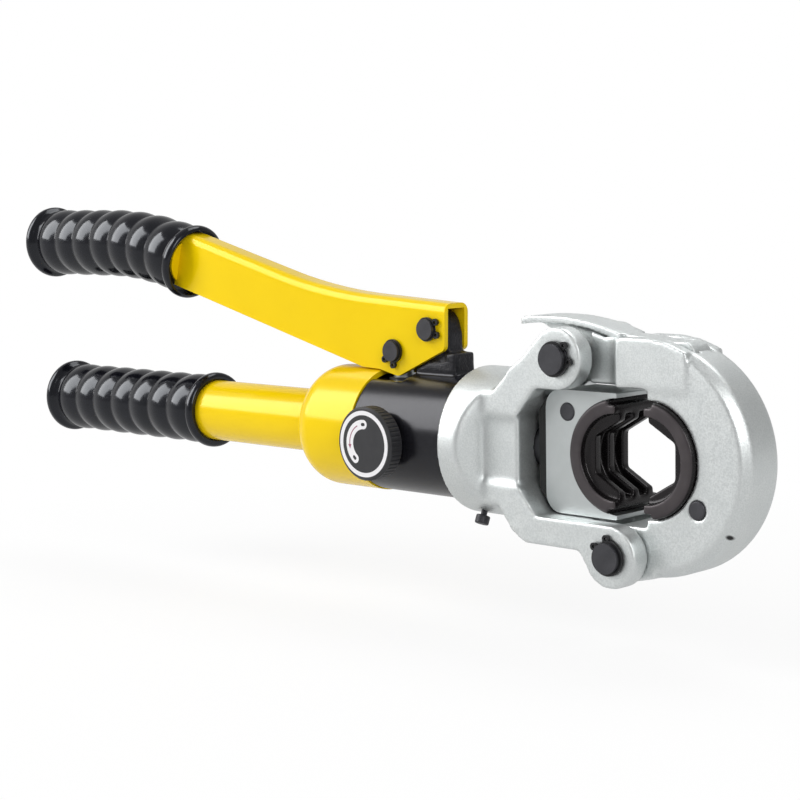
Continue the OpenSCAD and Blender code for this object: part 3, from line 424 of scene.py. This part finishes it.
class Finish:
    """A material under way: its tree, its shader and the few nodes that most finishes need."""

    def __init__(self, name):
        self.material = bpy.data.materials.new(name)
        self.material.use_nodes = True
        self.tree = self.material.node_tree
        self.shader = self.tree.nodes["Principled BSDF"]

    def set(self, **values):
        """The shader's inputs by name, each fed from a node or set to a plain value."""
        sockets = {socket.name.lower(): socket for socket in self.shader.inputs}
        for name, value in values.items():
            connect(self.tree, value, sockets[name.replace("_", " ")])

    def group(self, tree, **values):
        node = add_node(self.tree, "Group")
        node.node_tree = tree
        for name, value in values.items():
            node.inputs[name.replace("_", " ").title()].default_value = value
        return node.outputs

    def blend(self, mask, first, second):
        """Colour that goes from the first to the second as the mask goes from 0 to 1."""
        mix = add_node(self.tree, "Mix")
        mix.data_type = "RGBA"
        connect(self.tree, mask, mix.inputs[MIX_MASK])
        for index, value in zip(MIX_COLOURS, (first, second)):
            colour = (*value, 1) if isinstance(value, tuple) else value
            connect(self.tree, colour, mix.inputs[index])
        return mix.outputs[MIX_COLOUR]

    def spread(self, source, low, high, start=0.3, stop=0.7):
        """Value between low and high as the source goes from start to stop."""
        return add_node(self.tree, "MapRange", source, start, stop, low, high).outputs["Result"]

    def compute(self, operation, *values):
        return add_node(self.tree, "Math", *values, operation=operation).outputs["Value"]

    def measure(self, operation, *places):
        return add_node(self.tree, "VectorMath", *places, operation=operation).outputs["Value"]

    def place(self, centre=(0, 0, 0), turn=0.0, stretch=(1, 1, 1)):
        """Object coordinates about a centre, turned about Y and shortened by a stretch."""
        here = add_node(self.tree, "TexCoord").outputs["Object"]
        node = add_node(self.tree, "Mapping", here, centre, (0, -turn, 0), stretch)
        node.vector_type = "TEXTURE"
        return node.outputs["Vector"]

    def parts(self, place):
        return add_node(self.tree, "SeparateXYZ", place).outputs

    def off_arc(self, centre, radius, middle, half):
        """Distance from an arc about Y whose middle is at an angle from +X."""
        place = self.place(centre, middle)
        x, y, z = self.parts(place)
        angle = self.compute("MINIMUM", self.compute("ARCTAN2", z, x), half)
        angle = self.compute("MAXIMUM", angle, -half)
        near_x = self.compute("MULTIPLY", self.compute("COSINE", angle), radius)
        near_z = self.compute("MULTIPLY", self.compute("SINE", angle), radius)
        near = add_node(self.tree, "CombineXYZ", near_x, y, near_z).outputs["Vector"]
        return self.measure("DISTANCE", place, near)

    def bump(self, height, depth):
        node = add_node(self.tree, "Bump")
        node.inputs["Strength"].default_value = 1
        node.inputs["Distance"].default_value = depth
        connect(self.tree, height, node.inputs["Height"])
        self.set(normal=node.outputs["Normal"])


def plain_finish(name, dark, light, smooth, rough, fine, broad, depth=0.02 * MM, **shader):
    """Material whose colour and gloss vary gently over the surface."""
    finish = Finish(name)
    grain = finish.group(GRAIN, fine_scale=fine, broad_scale=broad)
    finish.set(
        base_color=finish.blend(finish.spread(grain["Broad"], 0, 1), dark, light),
        roughness=finish.spread(grain["Fine"], smooth, rough),
        **shader,
    )
    finish.bump(grain["Fine"], depth)
    return finish.material


def black_oxide():
    """Satin machined cylinder under a lug that is left rough from the mould."""
    finish = Finish("black oxide")
    grain = finish.group(GRAIN, fine_scale=1400, broad_scale=420)
    cast = finish.spread(finish.parts(finish.place())["Z"], 0, 1, *ROUGH_HEIGHT)
    cloud = finish.spread(grain["Broad"], 0, 1)
    satin = finish.spread(grain["Fine"], 0.20, 0.26)
    finish.set(
        base_color=finish.blend(cloud, (0.009, 0.009, 0.012), (0.014, 0.014, 0.018)),
        roughness=finish.compute("ADD", satin, finish.spread(cast, 0, 0.12, 0, 1)),
        metallic=0.35,
        specular_ior_level=0.4,
    )
    coarse = finish.spread(grain["Broad"], 0, 0.6, 0, 1)
    sand = finish.compute("ADD", coarse, finish.spread(grain["Fine"], 0, 0.4, 0, 1))
    relief = finish.compute("MULTIPLY", sand, cast)
    scratch = finish.spread(grain["Fine"], 0, 0.008, 0, 1)
    finish.bump(finish.compute("ADD", relief, scratch), 0.7 * MM)
    return finish.material


def zinc_casting():
    """Speckled casting with worn edges, painted shade in its inner corners and a painted dark spot for
    the shade in one pit.
    """
    finish = Finish("zinc casting")
    grain = finish.group(GRAIN, fine_scale=1500, broad_scale=70)
    edges = finish.group(EDGES, reach=0.5)
    speckle = finish.spread(grain["Fine"], 0, 1, 0.35, 0.65)
    base = finish.blend(speckle, (0.64, 0.67, 0.665), (0.76, 0.785, 0.78))
    base = finish.blend(finish.spread(grain["Broad"], 0, 0.35), base, (0.60, 0.635, 0.64))
    # Painted shade: inner corners darkened towards a dark grey, where shade falls
    base = finish.blend(edges["Painted Shade"], base, (0.28, 0.30, 0.305))
    base = finish.blend(edges["Worn"], base, (0.74, 0.76, 0.76))
    # Painted shade: a near-black spot where a small pit low on the jaw lies in shade
    away = finish.measure("LENGTH", finish.place(PIT_SHADE_PLACE, stretch=PIT_SHADE_STRETCH))
    pit_shade = finish.spread(away, 1, 0, PIT_SHADE_RADIUS, PIT_SHADE_REACH)
    finish.set(
        base_color=finish.blend(pit_shade, base, (0.04, 0.04, 0.04)),
        roughness=finish.spread(grain["Fine"], 0.36, 0.52),
        metallic=0.9,
    )
    finish.bump(grain["Fine"], 0.05 * MM)
    return finish.material


def die_oxide():
    """Ground charcoal rims round a blacker, glossier bore."""
    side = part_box("front_die")[1].y
    finish = Finish("die oxide")
    grain = finish.group(GRAIN, fine_scale=1500, broad_scale=90)
    aside = finish.compute("ABSOLUTE", finish.parts(finish.place())["Y"])
    rim = finish.spread(aside, 0, 1, side - RIM_START, side - RIM_FULL)
    cloud = finish.spread(grain["Broad"], 0, 1)
    face = finish.blend(cloud, (0.048, 0.041, 0.044), (0.068, 0.059, 0.062))
    gloss = finish.spread(grain["Fine"], 0.24, 0.32)
    finish.set(
        base_color=finish.blend(rim, (0.013, 0.011, 0.012), face),
        roughness=finish.compute("ADD", gloss, finish.spread(rim, 0, 0.14, 0, 1)),
        metallic=0.5,
    )
    finish.bump(grain["Fine"], 0.008 * MM)
    return finish.material


def label_print():
    """Charcoal film printed with a white ring, a white band and a thin turning arrow."""
    low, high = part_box("knob_label")
    centre = (low + high) / 2
    charcoal = (0.016, 0.016, 0.019)
    white = (0.78, 0.77, 0.79)
    mauve = (0.30, 0.10, 0.16)
    finish = Finish("label print")
    grain = finish.group(GRAIN, fine_scale=2500, broad_scale=160)

    def print_on(base, gap, width, ink):
        return finish.blend(finish.compute("LESS_THAN", gap, width), base, ink)

    def off_arc(radius, arc):
        return finish.off_arc(centre, radius, *(math.radians(angle) for angle in arc))

    base = finish.blend(finish.spread(grain["Broad"], 0, 1), charcoal, (0.022, 0.022, 0.025))
    base = print_on(base, off_arc(RING_RADIUS, RING_ARC), RING_HALF, white)
    base = print_on(base, off_arc(BAND_RADIUS, BAND_ARC), BAND_HALF, white)
    base = print_on(base, off_arc(BAND_RADIUS, LINE_ARC), LINE_HALF, mauve)
    for dot in DOT_ARCS:
        base = print_on(base, off_arc(BAND_RADIUS, dot), DOT_RADIUS, charcoal)
    # Arrow head at the end of the thin arc
    x, _, z = finish.parts(finish.place(centre, ARROW_ANGLE))
    half_width = finish.spread(z, ARROW_HALF, 0, 0, ARROW_LENGTH)
    off = finish.compute("ABSOLUTE", finish.compute("SUBTRACT", x, BAND_RADIUS))
    head = finish.compute("LESS_THAN", off, half_width)
    for bound in (
        finish.compute("GREATER_THAN", z, 0),
        finish.compute("GREATER_THAN", x, 0),
        finish.compute("LESS_THAN", z, ARROW_LENGTH),
    ):
        head = finish.compute("MULTIPLY", head, bound)
    finish.set(
        base_color=finish.blend(head, base, mauve),
        roughness=finish.spread(grain["Fine"], 0.38, 0.48),
    )
    finish.bump(grain["Fine"], 0.006 * MM)
    return finish.material


YELLOW = plain_finish(
    "yellow enamel", dark=(0.835, 0.573, 0.001), light=(0.883, 0.62, 0.002), smooth=0.17, rough=0.22,
    fine=260, broad=18, depth=0.002 * MM,
    coat_weight=0.1, coat_roughness=0.05, specular_tint=(1, 0.78, 0.10, 1),
)
VINYL = plain_finish(
    "black vinyl", dark=(0.003, 0.003, 0.005), light=(0.006, 0.006, 0.009), smooth=0.12, rough=0.20,
    fine=500, broad=60, depth=0.008 * MM,
    coat_weight=0.15, coat_roughness=0.05, specular_ior_level=0.38, specular_tint=(0.88, 0.93, 1, 1),
)
BLACK = black_oxide()
ZINC = zinc_casting()
SATIN = plain_finish(
    "satin steel", dark=(0.50, 0.53, 0.53), light=(0.58, 0.61, 0.61), smooth=0.34, rough=0.44,
    fine=2200, broad=60, depth=0.01 * MM, metallic=0.9,
)
DIE = die_oxide()
PIN = plain_finish(
    "pin oxide", dark=(0.035, 0.035, 0.040), light=(0.055, 0.055, 0.062), smooth=0.40, rough=0.55,
    fine=1500, broad=120, depth=0.012 * MM, metallic=0.4,
)
CLIP = plain_finish(
    "clip black", dark=(0.010, 0.010, 0.011), light=(0.020, 0.020, 0.022), smooth=0.30, rough=0.45,
    fine=1500, broad=200, depth=0.006 * MM, metallic=0.3,
)
KNOB = plain_finish(
    "knob plastic", dark=(0.018, 0.018, 0.021), light=(0.026, 0.026, 0.029), smooth=0.45, rough=0.6,
    fine=2500, broad=100,
)
LABEL = label_print()
SPRING = plain_finish(
    "spring steel", dark=(0.42, 0.42, 0.43), light=(0.55, 0.55, 0.56), smooth=0.25, rough=0.38,
    fine=1800, broad=200, metallic=0.9,
)
BRASS = plain_finish(
    "turned brass", dark=(0.55, 0.38, 0.13), light=(0.66, 0.47, 0.18), smooth=0.22, rough=0.36,
    fine=1800, broad=120, metallic=0.95,
)
RUBBER = plain_finish(
    "seal rubber", dark=(0.010, 0.010, 0.010), light=(0.020, 0.020, 0.020), smooth=0.5, rough=0.65,
    fine=1200, broad=90,
)

SLOT_FINISH = {
    "yellow_enamel": YELLOW,
    "black_vinyl": VINYL,
    "black_steel": BLACK,
    "zinc_casting": ZINC,
    "satin_steel": SATIN,
    "die_steel": DIE,
    "dark_pin_steel": PIN,
    "clip_steel": CLIP,
    "knob_plastic": KNOB,
    "label_print": LABEL,
    "valve_brass": BRASS,
    "seal_rubber": RUBBER,
}


def dress_nodes():
    """Each CAD node takes the finish of its material slot."""
    for part in frame["record"]["subparts"]:
        node = nodes[part["node"]]
        node.data.materials.clear()
        node.data.materials.append(SLOT_FINISH[part["material_slot"]])
        if part["node"].endswith("spring"):
            node.data.materials[0] = SPRING
    nodes["gland_nut"].data.materials[0] = PIN


# Castings


def casting(piece, node, body, finish, voxel, passes, soft=None, firm=None):
    """Cast part with rounded edges: its shape remeshed and smoothed, more where soft, less where firm."""
    apply_modifier(piece, "REMESH", mode="VOXEL", voxel_size=voxel, use_smooth_shade=True)
    if soft:
        weigh(piece, "soft", soft)
        apply_modifier(piece, "SMOOTH", factor=SMOOTH_FACTOR, iterations=SOFT_PASSES, vertex_group="soft")
    if firm:
        weigh(piece, "firm", firm)
    sharp = places_of(piece)
    apply_modifier(
        piece, "SMOOTH", factor=SMOOTH_FACTOR, iterations=passes,
        vertex_group="firm" if firm else "", invert_vertex_group=bool(firm),
    )
    normals = np.zeros(len(sharp) * 3)
    piece.data.vertex_normals.foreach_get("vector", normals)
    edge = ((sharp - places_of(piece)) * normals.reshape(-1, 3)).sum(1) / voxel
    layer = piece.data.attributes.new("edge", "FLOAT", "POINT")
    layer.data.foreach_set("value", edge.astype(np.float32))
    stand_for(piece, node, body, finish)


def make_head():
    """Head casting whose waist fades into the neck."""
    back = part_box("ram")[0].x - WINDOW_BACK

    def waist(x, y, z):
        along = min(ramp(x - back, WAIST_BACK), ramp(x - back, WAIST_FRONT))
        return min(along, ramp(abs(z), WAIST_HEIGHT), ramp(abs(y), WAIST_SIDE))

    piece = copy_of("head", "head_casting")
    casting(piece, "head", "head", ZINC, voxel=1.0 * MM, passes=8, soft=waist)


def tongue_corner(side, top):
    """Corner between the jaw's tongue and its upper block, hollowed by an upright round."""
    corner = add_box(
        (ROOT - CORNER_BACK, side * CORNER_INNER, BLOCK_BOTTOM),
        (ROOT + CORNER_FRONT, side * CORNER_OUTER, top - CORNER_DROP),
    )
    bpy.ops.object.select_all(action="DESELECT")
    bpy.ops.mesh.primitive_cylinder_add(
        vertices=64, radius=HOLLOW_RADIUS, depth=HOLLOW_HEIGHT,
        location=(ROOT - HOLLOW_BACK, side * (TONGUE_HALF + HOLLOW_RADIUS), HOLLOW_MIDDLE),
    )
    hollow = bpy.context.object
    apply_modifier(corner, "BOOLEAN", object=hollow, operation="DIFFERENCE", solver="EXACT")
    bpy.data.objects.remove(hollow)
    return corner


def latch_shoulder(side, top):
    """Shoulder on the jaw that rises with the latch's underside."""
    shoulder = add_box(
        (ROOT - SHOULDER_BACK, side * SHOULDER_INNER, top - SHOULDER_DEPTH),
        (ROOT + SHOULDER_FRONT, side * TONGUE_HALF, top + SHOULDER_RISE),
    )
    cut_off(shoulder, SHOULDER_PLANE + Vector((0, 0, top)), -SHOULDER_NORMAL)
    return shoulder


def make_jaw():
    """Jaw casting with hollow corners beside its tongue, and a pad that fades downwards."""
    piece = copy_of("jaw", "jaw_casting")
    low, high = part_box("upper_pin")
    top = (low.z + high.z) / 2 + BLOCK_RISE
    for side in (-1, 1):
        join_to(piece, tongue_corner(side, top))
        join_to(piece, latch_shoulder(side, top))
    low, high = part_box("jaw_button")
    button = (low + high) / 2

    def pad(x, y, z):
        along = min(ramp(x, PAD_BACK), ramp(x, PAD_FRONT))
        return min(along, ramp(abs(y), PAD_SIDE), ramp(z, PAD_TOP), ramp(z, PAD_BOTTOM))

    def button_rim(x, y, z):
        return BUTTON_HOLD * ramp(math.hypot(x - button.x, z - button.z), BUTTON_RIM)

    casting(
        piece, "jaw", "jaw", ZINC, voxel=0.9 * MM, passes=7, soft=pad, firm=button_rim,
    )


def make_latch():
    """Latch casting with its thumb paddle ended at a narrow tip."""
    piece = copy_of("latch", "latch_casting")
    cut_off(piece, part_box("latch")[0] + Vector((PADDLE_TRIM, 0, 0)), (1, 0, 0))
    casting(piece, "latch", "latch", ZINC, voxel=0.6 * MM, passes=6)


def make_pump():
    """Pump body under a lug with the round corners of its mould."""

    def lug(x, y, z):
        return LUG_SOFTNESS * ramp(z, LUG_HEIGHT)

    piece = copy_of("pump_body", "pump_casting")
    casting(piece, "pump_body", "pump", BLACK, voxel=0.8 * MM, passes=5, soft=lug)


def make_die(node, body):
    """Half die: the ram's is worn round on its crimp lands, the jaw's all over."""
    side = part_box(node)[1].y

    def worn(x, y, z):
        if body == "jaw":
            return 1
        return min(ramp(math.hypot(x, z), LAND_RADIUS), ramp(abs(y) - side, LAND_SIDE))

    piece = copy_of(node, node + "_steel")
    casting(piece, node, body, DIE, voxel=0.5 * MM, passes=8, soft=worn)


# Grips, lever and springs


def grip_profile(mouth):
    """Lengths along a grip and its radius there, from its closed end into its mouth."""
    flange = [(along * MM, radius * MM) for along, radius in FLANGE]
    bumps = [
        (FLANGE_LENGTH + BUMP_PITCH * step / BUMP_STEPS,
         VALLEY_RADIUS + BUMP_HEIGHT * abs(math.sin(math.pi * step / BUMP_STEPS)))
        for step in range(GRIP_BUMPS * BUMP_STEPS + 1)
    ]
    far_flange = [(GRIP_LENGTH - along, radius) for along, radius in reversed(flange)]
    inside = [(GRIP_LENGTH - depth * MM, radius * MM) for depth, radius in mouth]
    return flange + bumps + far_flange + inside


def upper_grip_path(along):
    """Place and slope at a length along the upper grip, level at first and then sloping down."""
    low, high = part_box("upper_grip")
    bend_start = GRIP_LENGTH - FLANGE_LENGTH - SLOPED_BUMPS * BUMP_PITCH - BEND_REACH
    bend_radius = BEND_REACH / math.tan(LEVER_SLOPE / 2)
    arc = bend_radius * LEVER_SLOPE
    along = along * (GRIP_LENGTH - 2 * BEND_REACH + arc) / GRIP_LENGTH
    past = along - bend_start
    slope = min(max(past / bend_radius, 0), LEVER_SLOPE)
    beyond = max(past - arc, 0)
    x = min(along, bend_start) + bend_radius * math.sin(slope) + beyond * math.cos(slope)
    drop = bend_radius * (1 - math.cos(slope)) + beyond * math.sin(slope)
    return Vector((low.x + x, 0, high.z - FLANGE_RADIUS - drop)), slope


def make_upper_grip():
    rings = [(*upper_grip_path(along), radius) for along, radius in grip_profile(UPPER_MOUTH)]
    stand_for(turned_along("upper_grip_vinyl", rings), "upper_grip", "handle", VINYL)


def make_lower_grip():
    low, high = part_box("lower_grip")
    middle = (low.z + high.z) / 2
    rings = [
        (Vector((low.x + along, 0, middle)), 0.0, radius) for along, radius in grip_profile(LOWER_MOUTH)
    ]
    stand_for(turned_along("lower_grip_vinyl", rings), "lower_grip", "pump", VINYL)


def make_lever():
    """Pressed channel: the CAD shape up to the grip, with the sheet's round bends and eased rims."""
    piece = copy_of("pump_lever", "lever_channel")
    mouth_depth = UPPER_MOUTH[-1][0] * MM
    end, slope = upper_grip_path(GRIP_LENGTH - mouth_depth - LEVER_GAP)
    cut_off(piece, end, (math.cos(slope), 0, -math.sin(slope)))
    bpy.ops.object.mode_set(mode="EDIT")
    bpy.ops.mesh.select_all(action="SELECT")
    bpy.ops.mesh.dissolve_limited(angle_limit=LEVER_FLAT_ANGLE)

    def top_bend(first, second, length):
        flat, up = sorted((first, second), key=lambda normal: abs(normal.z))
        return abs(flat.y) > SIDE_FACING and up.z > TOP_FACING and length > LEVER_SHORTEST_BEND

    select_edges(piece, top_bend)
    bpy.ops.mesh.bevel(offset=LEVER_EDGE, segments=8, profile=0.5)
    bpy.ops.object.mode_set(mode="OBJECT")
    apply_modifier(
        piece, "BEVEL", width=LEVER_RIM, segments=2, limit_method="ANGLE", angle_limit=LEVER_RIM_ANGLE,
    )
    bpy.ops.object.shade_smooth_by_angle(angle=LEVER_SMOOTH)
    apply_modifier(piece, "WEIGHTED_NORMAL", keep_sharp=True)
    stand_for(piece, "pump_lever", "handle", YELLOW)


def make_spring(node):
    """Spring copied from its CAD node, shaded smooth and given the spring finish, in place of the node.
    """
    piece = copy_of(node, node + "_coil")
    bpy.ops.object.shade_smooth_by_angle(angle=COIL_SMOOTH)
    piece.data.materials.append(SPRING)
    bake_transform(piece)
    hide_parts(node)


def make_springs():
    make_spring("return_spring")
    for node, still, moving in (
        ("ram_button_spring", "ram", "ram_button"), ("jaw_button_spring", "jaw", "jaw_button"),
    ):
        make_spring(node)


def ease_edges(node):
    """Small rounds on a CAD node's edges."""
    weld = nodes[node].modifiers.new("weld", "WELD")
    weld.merge_threshold = WELD_REACH
    bevel = nodes[node].modifiers.new("ease", "BEVEL")
    bevel.width = PIN_EASE
    bevel.segments = 2
    bevel.angle_limit = PIN_EDGE
    bevel.harden_normals = True


dress_nodes()
make_upper_grip()
make_lower_grip()
make_lever()
for eased in ("fulcrum_pin", "plunger_pin", "upper_pin", "hinge_pin", "ram"):
    ease_edges(eased)
make_die("front_die", "jaw")
make_die("rear_die", "ram")
make_head()
make_jaw()
make_latch()
make_pump()
make_springs()


# Studio


def view_sides():
    """Level directions to the right of the view and back to the camera."""
    level = Vector((math.cos(VIEW_AZIMUTH), math.sin(VIEW_AZIMUTH), 0))
    return level, Vector((math.sin(VIEW_AZIMUTH), -math.cos(VIEW_AZIMUTH), 0))


def place_camera():
    level, near = view_sides()
    back = near * math.cos(VIEW_ELEVATION) + Vector((0, 0, math.sin(VIEW_ELEVATION)))
    upright = back.cross(level)
    right = level * math.cos(VIEW_ROLL) + upright * math.sin(VIEW_ROLL)
    up = upright * math.cos(VIEW_ROLL) - level * math.sin(VIEW_ROLL)
    bpy.ops.object.camera_add()
    camera = bpy.context.object
    camera.data.lens = LENS
    camera.data.sensor_width = SENSOR
    turn = Matrix((right, up, back)).transposed().to_4x4()
    camera.matrix_world = Matrix.Translation(VIEW_TARGET + back * VIEW_DISTANCE) @ turn
    bpy.context.scene.camera = camera


def softbox(place, width, height, power):
    """Rectangular lamp that points at the tool."""
    bpy.ops.object.light_add(type="AREA", location=place)
    lamp = bpy.context.object
    lamp.data.shape = "RECTANGLE"
    lamp.data.size = width
    lamp.data.size_y = height
    lamp.data.energy = power
    lamp.rotation_euler = (VIEW_TARGET - Vector(place)).to_track_quat("-Z", "Y").to_euler()


def light_studio():
    """White room with soft boxes, which dims in mirrors towards its right, its near side and its roof."""
    world = bpy.data.worlds.new("studio")
    bpy.context.scene.world = world
    world.use_nodes = True
    tree = world.node_tree
    background = tree.nodes["Background"].inputs
    background["Color"].default_value = (1, 1, 1, 1)
    level, near = view_sides()
    dimmest = level * MIRROR_RIGHT + near * MIRROR_NEAR + Vector((0, 0, MIRROR_UP))
    ray = add_node(tree, "TexCoord").outputs["Generated"]
    towards = add_node(tree, "VectorMath", ray, dimmest, operation="DOT_PRODUCT").outputs["Value"]
    mirrored = add_node(tree, "MapRange", towards, *MIRROR_SIDES, *MIRROR_LIGHT).outputs["Result"]
    path = add_node(tree, "LightPath").outputs
    strength = ROOM_LIGHT
    for kind, light in (("Is Glossy Ray", mirrored), ("Is Transmission Ray", 1), ("Is Camera Ray", 1)):
        mix = add_node(tree, "Mix", path[kind])
        for index, value in zip(MIX_FLOATS, (strength, light)):
            connect(tree, value, mix.inputs[index])
        strength = mix.outputs[MIX_FLOAT]
    connect(tree, strength, background["Strength"])
    for lamp in SOFTBOXES:
        softbox(*lamp)


def lay_floor():
    """Pale floor that shows white, with the tool's shadow on it."""
    bpy.ops.mesh.primitive_plane_add(size=FLOOR_SIZE, location=(0, 0, cad_box[0].z - FLOOR_DROP))
    floor = bpy.context.object
    floor.name = "floor"
    finish = Finish("floor")
    finish.set(base_color=(0.9, 0.9, 0.9, 1), roughness=0.9)
    path = add_node(finish.tree, "LightPath").outputs
    place = finish.place((VIEW_TARGET.x, 0, 0))
    white = finish.spread(finish.measure("LENGTH", place), *FLOOR_WHITE, *FLOOR_WHITE_REACH)
    # Rays that show the floor itself, in the picture or in a mirror
    seen = path["Is Camera Ray"]
    for kind in ("Is Glossy Ray", "Is Transmission Ray"):
        seen = finish.compute("MAXIMUM", seen, path[kind])
    right = finish.measure("DOT_PRODUCT", place, view_sides()[0])
    dim = finish.spread(right, *FLOOR_DIM, *FLOOR_DIM_REACH)
    dim = finish.compute("MULTIPLY", dim, path["Is Glossy Ray"])
    glow = add_node(finish.tree, "Emission")
    connect(finish.tree, finish.compute("ADD", dim, 1), glow.inputs["Strength"])
    mix = add_node(
        finish.tree, "MixShader", finish.compute("MULTIPLY", seen, white),
        finish.shader.outputs["BSDF"], glow.outputs["Emission"],
    )
    surface = finish.tree.nodes["Material Output"].inputs["Surface"]
    connect(finish.tree, mix.outputs["Shader"], surface)
    floor.data.materials.append(finish.material)


place_camera()
light_studio()
lay_floor()
bpy.context.scene.view_settings.view_transform = "Standard"
